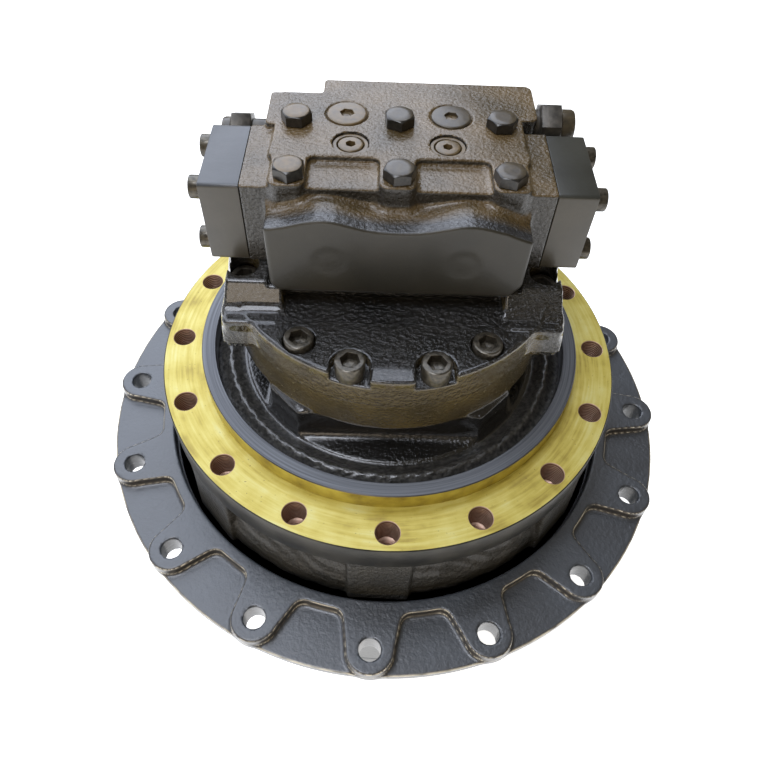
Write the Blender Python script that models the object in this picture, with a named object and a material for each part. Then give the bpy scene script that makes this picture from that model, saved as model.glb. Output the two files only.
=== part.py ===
"""Excavator final drive: an axial piston travel motor on a two-stage planetary reducer.

The axis is Z and the object stands on its end cover, with the motor and the brake valve on top.
The front, where the two hose ports are, looks along -Y. Lengths are in metres.

The frame flange, the motor casing and the second planet carrier are fixed to the machine. The
hub with the sprocket flange, the ring gear and the end cover turn round them on two bearings.
"""

import math

import bmesh
import bpy
from mathutils import Matrix, Vector
from mathutils.geometry import tessellate_polygon

# Clearances
SEAT_GAP = 0.0003
RUNNING_GAP = 0.0004
AXIAL_PLAY = 0.0008
OVERRUN = 0.004
WELD_DISTANCE = 0.000001

# Spindle: frame flange, pilot spigot and the casting between them
FRAME_FLANGE_RADIUS = 0.2165
FRAME_FLANGE_THICKNESS = 0.032
FRAME_FLANGE_CHAMFER = 0.0015
FRAME_BOLTS = 16
FRAME_BOLT_CIRCLE = 0.200
FRAME_BOLT_BORE = 0.0095
SPIGOT_RADIUS = 0.1775
SPIGOT_HEIGHT = 0.0186
SPIGOT_LAND = 0.0130
GROOVE_DEPTH = 0.0160
BEAD_RADIUS = 0.1495
BEAD_WIDTH = 0.0060
BEAD_HEIGHT = 0.0080
FLOOR_RADIUS = 0.1380
FLOOR_HEIGHT = 0.0030
CAST_NECK_RADIUS = 0.2000
RELIEF_DEPTH = 0.0030
PAD_ANGLES = (-1.4, -48.0, 48.0, -128.0, 128.0, 178.6)
PAD_WIDTH = 0.044
PAD_HEIGHT = 0.024
PAD_REACH = 0.0110
MOTOR_BORE_RADIUS = 0.0820
SHAFT_BORE_RADIUS = 0.0340
MOTOR_BORE_DEPTH = 0.1080
SPLINE_END_RADIUS = 0.0700
NUT_THREAD_RADIUS = 0.1270
SHOULDER_RADIUS = 0.1420
SHOULDER_HEIGHT = 0.0340

# Motor casing above the frame flange
CASING_NECK_HEIGHT = 0.0320
CASING_NECK_HALF_WIDTH = 0.0980
CASING_NECK_FRONT = 0.1100
CASING_NECK_CORNER = 0.0240
PARTING_HEIGHT = 0.0660
COVER_RADIUS = 0.1445
COVER_CENTRE_Y = 0.0215
COVER_TOP_HEIGHT = 0.0980
COVER_BACK_Y = 0.1240
CASING_SEGMENTS = 24

# Rear cover bolts, as angles from the front and distances from the axis
COVER_BOLT_ANGLES = (17.3, 42.0, 81.5, 137.0)
COVER_BOLT_CIRCLES = (0.1125, 0.1120, 0.1265, 0.1260)
COVER_BOLT_SUNK = (0.0090, 0.0120, 0.0090, 0.0090)
COVER_BOLT_SHANK = 0.0080
COVER_BOLT_HEAD_RADIUS = 0.0120
COVER_BOLT_HEAD_HEIGHT = 0.0160
COVER_BOLT_SOCKET = 0.0140
COVER_BOLT_SOCKET_DEPTH = 0.0080
COVER_BOLT_ENGAGEMENT = 0.0240
COVER_BOLT_RECESS_RADIUS = 0.0132
FRONT_POCKET_HALF_WIDTH = 0.0160
PLATFORM_HALF_WIDTH = 0.1000
PLATFORM_FRONT_Y = -0.0280
PLATFORM_BACK_Y = 0.0900
EAR_INNER_X = 0.0920
EAR_SHOULDER_X = 0.1030
EAR_OUTER_X = 0.1400
EAR_FRONT_Y = -0.0660
EAR_BACK_Y = 0.0500
EAR_LEDGE = 0.0140
EAR_LEAN = 0.0137
EAR_TOP_RISE = 0.0030

# Brake valve on the rear cover
VALVE_SEAT_HEIGHT = 0.1150
VALVE_TOP_HEIGHT = 0.2000
VALVE_HALF_WIDTH = 0.0995
VALVE_FRONT_Y = -0.0215
VALVE_BACK_Y = 0.1240
VALVE_LEFT_STEP_Y = 0.0560
VALVE_RIGHT_STEP_Y = 0.0710
VALVE_STEP_SLOPE = 0.0050
VALVE_NOTCH_X = -0.0635
VALVE_NOTCH_Y = 0.1030
VALVE_CORNER = 0.0080
PORT_FACE_Y = -0.0470
PORT_BLOCK_BACK_Y = -0.0120
PORT_BLOCK_HALF_WIDTH = 0.1010
PORT_BLOCK_BASE_RISE = 0.0020
PORT_BLOCK_SHOULDER_DROP = 0.0240
PORT_HUMP_DROP = 0.0120
PORT_DIP_DROP = 0.0200
PORT_HUMP_X = 0.0550
PORT_BLOCK_CHAMFER = 0.0090
POCKET_INNER_X = 0.0165
POCKET_OUTER_X = 0.0670
POCKET_BACK_Y = 0.0140
POCKET_CORNER = 0.0090
POCKET_DEPTH = 0.0160
ARM_HALF_LENGTH = 0.1190
ARM_FRONT_Y = -0.0170
ARM_BACK_Y = 0.0620
ARM_BASE_RISE = 0.0060
ARM_TOP_DROP = 0.0060
CAP_THICKNESS = 0.0310
CAP_BORE_RADIUS = 0.0180
CAP_BORE_DEPTH = 0.0200
CAP_SCREW_RADIUS = 0.0090
CAP_SCREW_HEAD = 0.0090
CAP_SCREW_INSET_Y = 0.0130
CAP_SCREW_INSET_SHARE = 0.165
SPOOL_Y = 0.0225
SPOOL_RADIUS = 0.0150
SPOOL_NECK_RADIUS = 0.0100
SPOOL_HALF_LENGTH = 0.1120
SPOOL_LAND = 0.0260
VALVE_BOLT_X = (-0.0820, 0.0, 0.0820)
VALVE_BOLT_Y = (-0.0090, 0.0605)
VALVE_BOLT_SHANK = 0.0070
VALVE_BOLT_FLATS = 0.0220
VALVE_BOLT_HEAD_HEIGHT = 0.0090
VALVE_BOLT_DEPTH = 0.0220
BIG_PLUG_X = 0.0423
BIG_PLUG_Y = 0.0730
BIG_PLUG_RADIUS = 0.0163
BIG_PLUG_SOCKET = 0.0130
BIG_PLUG_DEPTH = 0.0140
BIG_PLUG_STANDS = 0.0012
CHECK_PLUG_X = 0.0380
CHECK_PLUG_Y = 0.0334
CHECK_PLUG_RADIUS = 0.0100
CHECK_PLUG_RECESS_RADIUS = 0.0145
CHECK_PLUG_RECESS_DEPTH = 0.0050
CHECK_PLUG_SOCKET = 0.0070
CHECK_PLUG_DEPTH_SHARE = 0.58
RELIEF_Y = 0.0880
RELIEF_DROPS = (0.0320, 0.0150)
RELIEF_SEATS_X = (0.1070, 0.1135)
RELIEF_FLATS = 0.0340
RELIEF_NECK_RADIUS = 0.0130
RELIEF_NECKS = (0.0160, 0.0030)
RELIEF_HEX = 0.0180
RELIEF_TIP_RADIUS = 0.0140
RELIEF_TIPS = (0.0090, 0.0130)
RELIEF_BORE_DEPTH = 0.0250

# Sprocket flange on the hub
SPROCKET_FACE_DROP = 0.0884
SPROCKET_BOLTS = 16
SPROCKET_BOLT_CIRCLE = 0.2665
SPROCKET_BOLT_BORE = 0.0096
LOBE_END_RADIUS = 0.0215
LOBE_DEPTH = 0.0160
LOBE_STEP = 0.0100
LAND_INNER_RADIUS = 0.2245
POCKET_INNER_RADIUS = 0.2360
POCKET_HALF_WIDTH = 0.0205
POCKET_CORNER_CUT = 0.0060
RIM_RADIUS = 0.2855
RIM_WALL = 0.0080
RIM_FOOT_RADIUS = 0.2800
FLANGE_THICKNESS = 0.0250
HUB_REST_ANGLE = -2.45
HUB_BODY_RADIUS = 0.2150
HUB_END_RADIUS = 0.2050
HUB_FILLET = 0.0160

# Floating seal between spindle and hub
SEAL_SPLIT_DROP = 0.1045
SEAL_LIP_GAP = 0.0012
SEAL_INNER_RADIUS = 0.1740
SEAL_FACE_RADIUS = 0.1900
SEAL_RIM = 0.0040
SEAL_HEIGHT = 0.0120
SEAL_CONE = 0.0080
TORIC_RADIUS = 0.0050
SEAL_POCKET_RADIUS = 0.1955
SEAL_POCKET_DEPTH = 0.0180
SEAL_POCKET_INNER_RADIUS = 0.1600

# Main bearings
BEARING_TOP_DROP = 0.1300
BEARING_WIDTH = 0.0380
BEARING_BORE_RADIUS = 0.1300
BEARING_OUTER_RADIUS = 0.1700
BEARING_RING = 0.0120
BEARING_TAPER = 0.0050
BEARING_ROLLERS = 16
BEARING_CAGE_THICKNESS = 0.0030
NUT_THICKNESS = 0.0140
NUT_RADIUS = 0.1480
NUT_SLOTS = 4
NUT_SLOT_WIDTH = 0.0140
NUT_SLOT_DEPTH = 0.0070

# Planetary gears: both stages run in one ring gear
MODULE = 0.0055
PRESSURE_ANGLE = math.radians(20.0)
RING_TEETH = 60
SUN_2_TEETH = 18
SUN_1_TEETH = 12
PLANETS = 3
ADDENDUM_SHARE = 1.0
DEDENDUM_SHARE = 1.25
BACKLASH = 0.0005
RING_GEAR_OUTER_RADIUS = 0.2050
HUB_END_DROP = 0.2360
CARRIER_2_THICKNESS = 0.0220
CARRIER_2_RADIUS = 0.1450
PLANET_2_WIDTH = 0.0500
PIN_2_RADIUS = 0.0220
CARRIER_1_THICKNESS = 0.0150
CARRIER_1_RADIUS = 0.1420
PLANET_1_WIDTH = 0.0320
PIN_1_RADIUS = 0.0180
SUN_2_HUB_RADIUS = 0.0390
SUN_2_BORE_RADIUS = 0.0230
SUN_1_STEM_RADIUS = 0.0160
STAGE_2_ANGLE = 90.0
STAGE_1_ANGLE = 30.0

# End cover
COVER_RIM_THICKNESS = 0.0180
COVER_BOSS_RADIUS = 0.1250
COVER_BOSS_HEIGHT = 0.0100
COVER_DISH_RADIUS = 0.1500
COVER_DISH_DEPTH = 0.0080
COVER_SCREWS = 12
COVER_SCREW_CIRCLE = 0.1900
COVER_SCREW_FLATS = 0.0210
COVER_SCREW_HEAD = 0.0080
OIL_PLUG_ANGLES = (-90.0, 0.0, 180.0)
OIL_PLUG_CIRCLE = 0.0850
OIL_PLUG_RADIUS = 0.0110
OIL_PLUG_DEPTH = 0.0120
OIL_PLUG_SOCKET = 0.0100
OIL_PLUG_SUNK = 0.0020
THRUST_PLATE_RADIUS = 0.0300

# Motor shaft line
SHAFT_RADIUS = 0.0250
SHAFT_UPPER_RADIUS = 0.0190
SHAFT_SOCKET_DEPTH = 0.0300
SHAFT_BOTTOM_DROP = 0.2150
SHAFT_TOP_RISE = 0.0780
SHAFT_BEARING_RADIUS = 0.0450
SHAFT_BEARING_WIDTH = 0.0220
SHAFT_SEAL_WIDTH = 0.0080
SHAFT_SEAL_RADIUS = 0.0380
BLOCK_RADIUS = 0.0680
BLOCK_BASE_DROP = 0.0300
BLOCK_LENGTH = 0.0900
BLOCK_PISTONS = 9
BLOCK_PISTON_CIRCLE = 0.0460
BLOCK_PISTON_BORE = 0.0100
BLOCK_BORE_DEPTH = 0.0600
VALVE_PLATE_THICKNESS = 0.0040
BRAKE_RING_RADIUS = 0.0700
BRAKE_RING_LENGTH = 0.0240
BRAKE_STROKE = 0.0030

# Facets of the turned pieces
LARGE_SEGMENTS = 32
RING_SEGMENTS = 24
SMALL_SEGMENTS = 12
BOLT_SEGMENTS = 8

# Levels of the brake valve, above the frame face
ARM_BASE_HEIGHT = VALVE_SEAT_HEIGHT + ARM_BASE_RISE
ARM_TOP_HEIGHT = VALVE_TOP_HEIGHT - ARM_TOP_DROP
SPOOL_HEIGHT = (ARM_BASE_HEIGHT + ARM_TOP_HEIGHT) / 2
CHECK_PLUG_FACE_HEIGHT = VALVE_TOP_HEIGHT - CHECK_PLUG_RECESS_DEPTH
CHECK_PLUG_DEPTH = CHECK_PLUG_DEPTH_SHARE * (CHECK_PLUG_FACE_HEIGHT - SPOOL_HEIGHT - SPOOL_RADIUS)

# Levels worked out from the sizes above, from the rest face at zero upwards
STACK_GAPS = 4
BEARING_END_DROP = BEARING_TOP_DROP + 2 * BEARING_WIDTH
NUT_END_DROP = BEARING_END_DROP + SEAT_GAP + NUT_THICKNESS
CARRIER_2_TOP_DROP = NUT_END_DROP + AXIAL_PLAY
PLANET_2_TOP_DROP = CARRIER_2_TOP_DROP + CARRIER_2_THICKNESS + AXIAL_PLAY
CARRIER_1_TOP_DROP = PLANET_2_TOP_DROP + PLANET_2_WIDTH + AXIAL_PLAY
PLANET_1_TOP_DROP = CARRIER_1_TOP_DROP + CARRIER_1_THICKNESS + AXIAL_PLAY
PLANET_1_END_DROP = PLANET_1_TOP_DROP + PLANET_1_WIDTH
RING_GEAR_END_DROP = PLANET_1_END_DROP + STACK_GAPS * AXIAL_PLAY
COVER_TOP_DROP = RING_GEAR_END_DROP + SEAT_GAP
FRAME_FACE_HEIGHT = COVER_TOP_DROP + COVER_RIM_THICKNESS + COVER_BOSS_HEIGHT

PLANET_2_TEETH = (RING_TEETH - SUN_2_TEETH) // 2
PLANET_1_TEETH = (RING_TEETH - SUN_1_TEETH) // 2
PLANET_2_CENTRE = MODULE * (SUN_2_TEETH + PLANET_2_TEETH) / 2
PLANET_1_CENTRE = MODULE * (SUN_1_TEETH + PLANET_1_TEETH) / 2

# Finishes: colour, roughness and metallic
FINISHES = {
    "cast paint": ((0.030, 0.026, 0.024), 0.38, 0.0),
    "flange paint": ((0.055, 0.058, 0.066), 0.42, 0.0),
    "yellow varnish": ((0.560, 0.440, 0.110), 0.35, 0.6),
    "cap paint": ((0.085, 0.090, 0.095), 0.35, 0.0),
    "black oxide": ((0.060, 0.055, 0.050), 0.35, 0.8),
    "steel": ((0.450, 0.450, 0.460), 0.30, 1.0),
    "gear steel": ((0.320, 0.320, 0.330), 0.35, 1.0),
    "bronze": ((0.500, 0.330, 0.130), 0.35, 1.0),
    "rubber": ((0.015, 0.015, 0.015), 0.70, 0.0),
}


def rise(height):
    """Height above the rest face of a point this far above the frame face."""
    return FRAME_FACE_HEIGHT + height


def drop(depth):
    """Height above the rest face of a point this far below the frame face."""
    return FRAME_FACE_HEIGHT - depth


def finish_material(name, finish):
    colour, roughness, metallic = FINISHES[finish]
    material = bpy.data.materials.new(name)
    material.use_nodes = True
    shader = material.node_tree.nodes["Principled BSDF"]
    shader.inputs["Base Color"].default_value = (*colour, 1.0)
    shader.inputs["Roughness"].default_value = roughness
    shader.inputs["Metallic"].default_value = metallic
    return material


def placed(name, shape, finish, location=(0.0, 0.0, 0.0), turn=None, parent=None):
    """A named piece from a bmesh, with its own material, at a location and an optional rotation matrix."""
    mesh = bpy.data.meshes.new(name)
    shape.to_mesh(mesh)
    shape.free()
    mesh.shade_smooth()
    mesh.set_sharp_from_angle(angle=math.radians(30.0))
    mesh.materials.append(finish_material(name, finish))
    piece = bpy.data.objects.new(name, mesh)
    bpy.context.scene.collection.objects.link(piece)
    piece.location = location
    if turn is not None:
        piece.rotation_euler = turn.to_euler()
    piece.parent = parent
    return piece


def helper(name, shape, location=(0.0, 0.0, 0.0)):
    """A shape that only cuts or joins another, and isn't a piece of the object."""
    mesh = bpy.data.meshes.new(name)
    shape.to_mesh(mesh)
    shape.free()
    tool = bpy.data.objects.new(name, mesh)
    bpy.context.scene.collection.objects.link(tool)
    tool.location = location
    tool.hide_render = True
    tool.display_type = "WIRE"
    return tool


def combine(piece, tool, operation):
    modifier = piece.modifiers.new(tool.name, "BOOLEAN")
    modifier.operation = operation
    modifier.solver = "EXACT"
    modifier.object = tool


def turned(profile, segments):
    """A solid of revolution about Z from a closed profile of (radius, height) points."""
    shape = bmesh.new()
    rings = []
    for step in range(segments):
        angle = 2 * math.pi * step / segments
        turn = (math.cos(angle), math.sin(angle))
        rings.append([shape.verts.new((r * turn[0], r * turn[1], z)) for r, z in profile])
    count = len(profile)
    for step, ring in enumerate(rings):
        following = rings[(step + 1) % segments]
        for i in range(count):
            j = (i + 1) % count
            if profile[i][0] or profile[j][0]:
                shape.faces.new((ring[i], ring[j], following[j], following[i]))
    bmesh.ops.remove_doubles(shape, verts=shape.verts, dist=WELD_DISTANCE)
    bmesh.ops.dissolve_degenerate(shape, edges=shape.edges, dist=WELD_DISTANCE)
    bmesh.ops.recalc_face_normals(shape, faces=shape.faces)
    return shape


def prism(loops, bottom, top):
    """A straight solid between two heights, from an outer outline and any holes in it."""
    shape = bmesh.new()
    flat = [point for loop in loops for point in loop]
    lower = [shape.verts.new((x, y, bottom)) for x, y in flat]
    upper = [shape.verts.new((x, y, top)) for x, y in flat]
    triangles = tessellate_polygon([[Vector((x, y, 0.0)) for x, y in loop] for loop in loops])
    for a, b, c in triangles:
        shape.faces.new((lower[a], lower[b], lower[c]))
        shape.faces.new((upper[c], upper[b], upper[a]))
    start = 0
    for loop in loops:
        for i in range(len(loop)):
            a = start + i
            b = start + (i + 1) % len(loop)
            shape.faces.new((lower[a], lower[b], upper[b], upper[a]))
        start += len(loop)
    bmesh.ops.recalc_face_normals(shape, faces=shape.faces)
    return shape


def block(x_range, y_range, z_range):
    """A box between two corners."""
    corners = [(x, y) for x, y in zip((x_range[0], x_range[1], x_range[1], x_range[0]),
                                      (y_range[0], y_range[0], y_range[1], y_range[1]))]
    return prism([corners], *z_range)


def merged(shapes):
    """One bmesh that holds several separate shapes."""
    whole = bmesh.new()
    for shape in shapes:
        mesh = bpy.data.meshes.new("part")
        shape.to_mesh(mesh)
        shape.free()
        whole.from_mesh(mesh)
        bpy.data.meshes.remove(mesh)
    return whole


def moved(shape, offset=(0.0, 0.0, 0.0), turn=None):
    if turn is not None:
        bmesh.ops.transform(shape, matrix=turn, verts=shape.verts)
    bmesh.ops.translate(shape, vec=Vector(offset), verts=shape.verts)
    return shape


def circle(radius, segments, centre=(0.0, 0.0), phase=0.0):
    return [
        (centre[0] + radius * math.cos(phase + 2 * math.pi * i / segments),
         centre[1] + radius * math.sin(phase + 2 * math.pi * i / segments))
        for i in range(segments)
    ]


def clear_bore(radius, gap, segments, centre=(0.0, 0.0)):
    """A faceted bore whose flats clear a round piece of this radius, however that piece is turned."""
    return circle((radius + gap) / math.cos(math.pi / segments), segments, centre)


def hexagon(across_flats, phase=0.0):
    return circle(across_flats / math.sqrt(3.0), 6, phase=phase)


def arc(centre, radius, start, end, steps):
    """Points along an arc, both ends included. Angles are in degrees."""
    return [
        (centre[0] + radius * math.cos(math.radians(start + (end - start) * i / steps)),
         centre[1] + radius * math.sin(math.radians(start + (end - start) * i / steps)))
        for i in range(steps + 1)
    ]


def rounded_rectangle(x_range, y_range, radius, steps=3):
    left, right = x_range
    front, back = y_range
    corners = (
        ((right - radius, front + radius), -90.0),
        ((right - radius, back - radius), 0.0),
        ((left + radius, back - radius), 90.0),
        ((left + radius, front + radius), 180.0),
    )
    return [point for centre, start in corners for point in arc(centre, radius, start, start + 90.0, steps)]


def polar(radius, degrees):
    angle = math.radians(degrees)
    return (radius * math.cos(angle), radius * math.sin(angle))


def from_front(radius, degrees):
    """The place at this distance from the axis, this many degrees round from the front."""
    return polar(radius, degrees - 90.0)


def bores(places, radius, bottom, top, segments):
    """Round cutters standing at the given places."""
    return merged([
        prism([circle(radius, segments, place)], bottom, top) for place in places
    ])


# Gears

def tooth_half_angle(teeth, radius, play):
    """Half of a tooth's angle at a radius, from the involute of the base circle, less half the play."""
    base = MODULE * teeth / 2 * math.cos(PRESSURE_ANGLE)
    pressure = math.acos(min(1.0, base / radius))
    involute = math.tan(PRESSURE_ANGLE) - PRESSURE_ANGLE
    return (math.pi / (2 * teeth) + involute - (math.tan(pressure) - pressure)
            - play / (2 * radius))


def gear_outline(teeth, phase_degrees):
    """The outline of an external gear, with a tooth centred on the phase angle."""
    pitch = MODULE * teeth / 2
    root = pitch - DEDENDUM_SHARE * MODULE
    tip = pitch + ADDENDUM_SHARE * MODULE
    at_root = tooth_half_angle(teeth, max(root, pitch - ADDENDUM_SHARE * MODULE), BACKLASH)
    at_tip = tooth_half_angle(teeth, tip, BACKLASH)
    points = []
    for k in range(teeth):
        middle = math.radians(phase_degrees) + 2 * math.pi * k / teeth
        for radius, angle in ((root, -at_root), (tip, -at_tip), (tip, at_tip), (root, at_root)):
            points.append((radius * math.cos(middle + angle), radius * math.sin(middle + angle)))
    return points


def ring_outline():
    """The inner outline of the ring gear, with a tooth space centred on the X axis."""
    pitch = MODULE * RING_TEETH / 2
    root = pitch + DEDENDUM_SHARE * MODULE
    tip = pitch - ADDENDUM_SHARE * MODULE
    at_root = tooth_half_angle(RING_TEETH, root, -BACKLASH)
    at_tip = tooth_half_angle(RING_TEETH, tip, -BACKLASH)
    points = []
    for k in range(RING_TEETH):
        middle = 2 * math.pi * k / RING_TEETH
        for radius, angle in ((tip, -at_tip), (root, -at_root), (root, at_root), (tip, at_tip)):
            points.append((radius * math.cos(middle + angle), radius * math.sin(middle + angle)))
    return points


# Fasteners

def socket_head(head_radius, head_height, shank_radius, shank_length, socket, socket_depth):
    """A socket head cap screw that hangs down from the underside of its head at zero."""
    screw = turned(
        [(0.0, -shank_length), (shank_radius, -shank_length), (shank_radius, 0.0),
         (head_radius, 0.0), (head_radius, head_height), (0.0, head_height)],
        BOLT_SEGMENTS,
    )
    return screw, prism([hexagon(socket)], head_height - socket_depth, head_height + OVERRUN)


def hex_head_bolt(flats, head_height, shank_radius, shank_length):
    """A hexagon bolt that hangs down from the underside of its head at zero."""
    shape = bmesh.new()
    head = hexagon(flats)
    shank = circle(shank_radius, BOLT_SEGMENTS)
    bottom = [shape.verts.new((x, y, 0.0)) for x, y in head]
    top = [shape.verts.new((x, y, head_height)) for x, y in head]
    neck = [shape.verts.new((x, y, 0.0)) for x, y in shank]
    tip = [shape.verts.new((x, y, -shank_length)) for x, y in shank]
    loops = [[Vector((x, y, 0.0)) for x, y in head], [Vector((x, y, 0.0)) for x, y in shank]]
    flat = bottom + neck
    for a, b, c in tessellate_polygon(loops):
        shape.faces.new((flat[a], flat[b], flat[c]))
    shape.faces.new(top)
    shape.faces.new(tip)
    for lower, upper in ((bottom, top), (tip, neck)):
        for i in range(len(lower)):
            j = (i + 1) % len(lower)
            shape.faces.new((lower[i], lower[j], upper[j], upper[i]))
    bmesh.ops.recalc_face_normals(shape, faces=shape.faces)
    return shape


def socket_plug(name, radius, depth, stands, socket, finish, place, segments=SMALL_SEGMENTS):
    """A screwed plug with a hexagon socket. The place is that of the face it is flush with."""
    body = prism([circle(radius, segments)], -depth, stands)
    plug = placed(name, body, finish, place)
    cutter = helper(
        name + "_socket", prism([hexagon(socket)], stands - depth / 2, stands + OVERRUN), place
    )
    combine(plug, cutter, "DIFFERENCE")
    return plug


# Spindle

def cover_bolts():
    """The place and the depth of each rear cover bolt's seat."""
    bolts = []
    for angle, distance, sunk in zip(COVER_BOLT_ANGLES, COVER_BOLT_CIRCLES, COVER_BOLT_SUNK):
        for side in (-1, 1):
            bolts.append((*from_front(distance, side * angle), COVER_TOP_HEIGHT - sunk))
    return bolts


def cover_bolt_places():
    return [(x, y) for x, y, _ in cover_bolts()]


def casing_outline():
    """The outline that the motor casing and the rear cover share: round in front, straight at the back."""
    reach = COVER_BACK_Y - COVER_CENTRE_Y
    end = math.degrees(math.asin(reach / COVER_RADIUS))
    return arc((0.0, COVER_CENTRE_Y), COVER_RADIUS, -180.0 - end, end, CASING_SEGMENTS)


def neck_outline():
    side = CASING_NECK_HALF_WIDTH
    cut = CASING_NECK_CORNER
    front = -CASING_NECK_FRONT
    back = CASING_NECK_FRONT
    return [(side, front + cut), (side, back - cut), (side - cut, back), (cut - side, back),
            (-side, back - cut), (-side, front + cut), (cut - side, front), (side - cut, front)]


def spindle_profile():
    """The turned section of the spindle, down its outside and up its bore."""
    seal_lip = SEAL_SPLIT_DROP - SEAL_LIP_GAP
    bead_side = BEAD_WIDTH / 2
    bearing_end = MOTOR_BORE_DEPTH + SHAFT_BEARING_WIDTH
    seal_end = bearing_end + 2 * SHAFT_SEAL_WIDTH
    return [
        (MOTOR_BORE_RADIUS, rise(FLOOR_HEIGHT)),
        (FLOOR_RADIUS, rise(FLOOR_HEIGHT)),
        (FLOOR_RADIUS + FLOOR_HEIGHT, rise(0.0)),
        (BEAD_RADIUS - bead_side - FLOOR_HEIGHT, rise(0.0)),
        (BEAD_RADIUS - bead_side, rise(BEAD_HEIGHT)),
        (BEAD_RADIUS + bead_side, rise(BEAD_HEIGHT)),
        (BEAD_RADIUS + bead_side + FLOOR_HEIGHT, rise(SPIGOT_HEIGHT - GROOVE_DEPTH)),
        (SPIGOT_RADIUS - SPIGOT_LAND, rise(SPIGOT_HEIGHT - GROOVE_DEPTH)),
        (SPIGOT_RADIUS - SPIGOT_LAND, rise(SPIGOT_HEIGHT)),
        (SPIGOT_RADIUS, rise(SPIGOT_HEIGHT)),
        (SPIGOT_RADIUS, rise(0.0)),
        (FRAME_FLANGE_RADIUS - FRAME_FLANGE_CHAMFER, rise(0.0)),
        (FRAME_FLANGE_RADIUS, rise(-FRAME_FLANGE_CHAMFER)),
        (FRAME_FLANGE_RADIUS, drop(FRAME_FLANGE_THICKNESS)),
        (CAST_NECK_RADIUS, drop(FRAME_FLANGE_THICKNESS + RELIEF_DEPTH)),
        (CAST_NECK_RADIUS, drop(seal_lip)),
        (SEAL_POCKET_RADIUS, drop(seal_lip)),
        (SEAL_POCKET_RADIUS, drop(SEAL_SPLIT_DROP - SEAL_POCKET_DEPTH)),
        (SEAL_INNER_RADIUS, drop(SEAL_SPLIT_DROP - SEAL_POCKET_DEPTH)),
        (SHOULDER_RADIUS, drop(BEARING_TOP_DROP - SHOULDER_HEIGHT)),
        (SHOULDER_RADIUS, drop(BEARING_TOP_DROP)),
        (BEARING_BORE_RADIUS - SEAT_GAP, drop(BEARING_TOP_DROP)),
        (BEARING_BORE_RADIUS - SEAT_GAP, drop(BEARING_END_DROP)),
        (NUT_THREAD_RADIUS, drop(BEARING_END_DROP)),
        (NUT_THREAD_RADIUS, drop(NUT_END_DROP)),
        (SPLINE_END_RADIUS, drop(NUT_END_DROP)),
        (SPLINE_END_RADIUS, drop(CARRIER_2_TOP_DROP + CARRIER_2_THICKNESS)),
        (SHAFT_BORE_RADIUS, drop(CARRIER_2_TOP_DROP + CARRIER_2_THICKNESS)),
        (SHAFT_BORE_RADIUS, drop(seal_end)),
        (SHAFT_SEAL_RADIUS + SEAT_GAP, drop(seal_end)),
        (SHAFT_SEAL_RADIUS + SEAT_GAP, drop(bearing_end)),
        (SHAFT_BEARING_RADIUS + SEAT_GAP, drop(bearing_end)),
        (SHAFT_BEARING_RADIUS + SEAT_GAP, drop(MOTOR_BORE_DEPTH)),
        (MOTOR_BORE_RADIUS, drop(MOTOR_BORE_DEPTH)),
    ]


def spindle_pads():
    """Cast pads that hold the frame flange up from the round neck."""
    pads = []
    for angle in PAD_ANGLES:
        reach = CAST_NECK_RADIUS + PAD_REACH
        pad = block(
            (-PAD_WIDTH / 2, PAD_WIDTH / 2),
            (-reach, -CAST_NECK_RADIUS + 2 * PAD_REACH),
            (drop(FRAME_FLANGE_THICKNESS + PAD_HEIGHT), drop(FRAME_FLANGE_THICKNESS / 2)),
        )
        pads.append(moved(pad, turn=Matrix.Rotation(math.radians(angle), 4, "Z")))
    return merged(pads)


def make_spindle():
    spindle = placed("spindle", turned(spindle_profile(), LARGE_SEGMENTS), "yellow varnish")
    combine(spindle, helper("spindle_pads", spindle_pads()), "UNION")
    neck = prism(
        [neck_outline(), circle(MOTOR_BORE_RADIUS, LARGE_SEGMENTS)],
        rise(FLOOR_HEIGHT - OVERRUN), rise(CASING_NECK_HEIGHT + OVERRUN),
    )
    combine(spindle, helper("casing_neck", neck), "UNION")
    casing = prism(
        [casing_outline(), circle(MOTOR_BORE_RADIUS, LARGE_SEGMENTS)],
        rise(CASING_NECK_HEIGHT), rise(PARTING_HEIGHT),
    )
    combine(spindle, helper("casing_flange", casing), "UNION")
    frame_holes = bores(
        [from_front(FRAME_BOLT_CIRCLE, 360.0 * k / FRAME_BOLTS) for k in range(FRAME_BOLTS)],
        FRAME_BOLT_BORE, drop(FRAME_FLANGE_THICKNESS - OVERRUN), rise(OVERRUN), BOLT_SEGMENTS,
    )
    combine(spindle, helper("frame_bolt_holes", frame_holes), "DIFFERENCE")
    screw_holes = bores(
        cover_bolt_places(), COVER_BOLT_SHANK + SEAT_GAP,
        rise(PARTING_HEIGHT - COVER_BOLT_ENGAGEMENT), rise(PARTING_HEIGHT + OVERRUN), BOLT_SEGMENTS,
    )
    combine(spindle, helper("cover_screw_holes", screw_holes), "DIFFERENCE")
    return spindle


# Rear cover

def ear_shape(side, inner, top):
    """One ear beside the valve: a column, a ledge level with the plate and a leaning face above it."""
    bottom = PARTING_HEIGHT + SEAT_GAP
    foot = COVER_TOP_HEIGHT
    face = EAR_FRONT_Y + EAR_LEDGE
    lean = EAR_LEAN * (top - foot) / (VALVE_SEAT_HEIGHT + EAR_TOP_RISE - foot)
    section = [(EAR_FRONT_Y, bottom), (EAR_FRONT_Y, foot), (face, foot), (face + lean, top),
               (EAR_BACK_Y, top), (EAR_BACK_Y, bottom)]
    shape = prism([section], *sorted((side * inner, side * EAR_OUTER_X)))
    across = Matrix(((0, 0, 1, 0), (1, 0, 0, 0), (0, 1, 0, 0), (0, 0, 0, 1)))
    return moved(shape, (0.0, 0.0, FRAME_FACE_HEIGHT), across)


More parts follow.
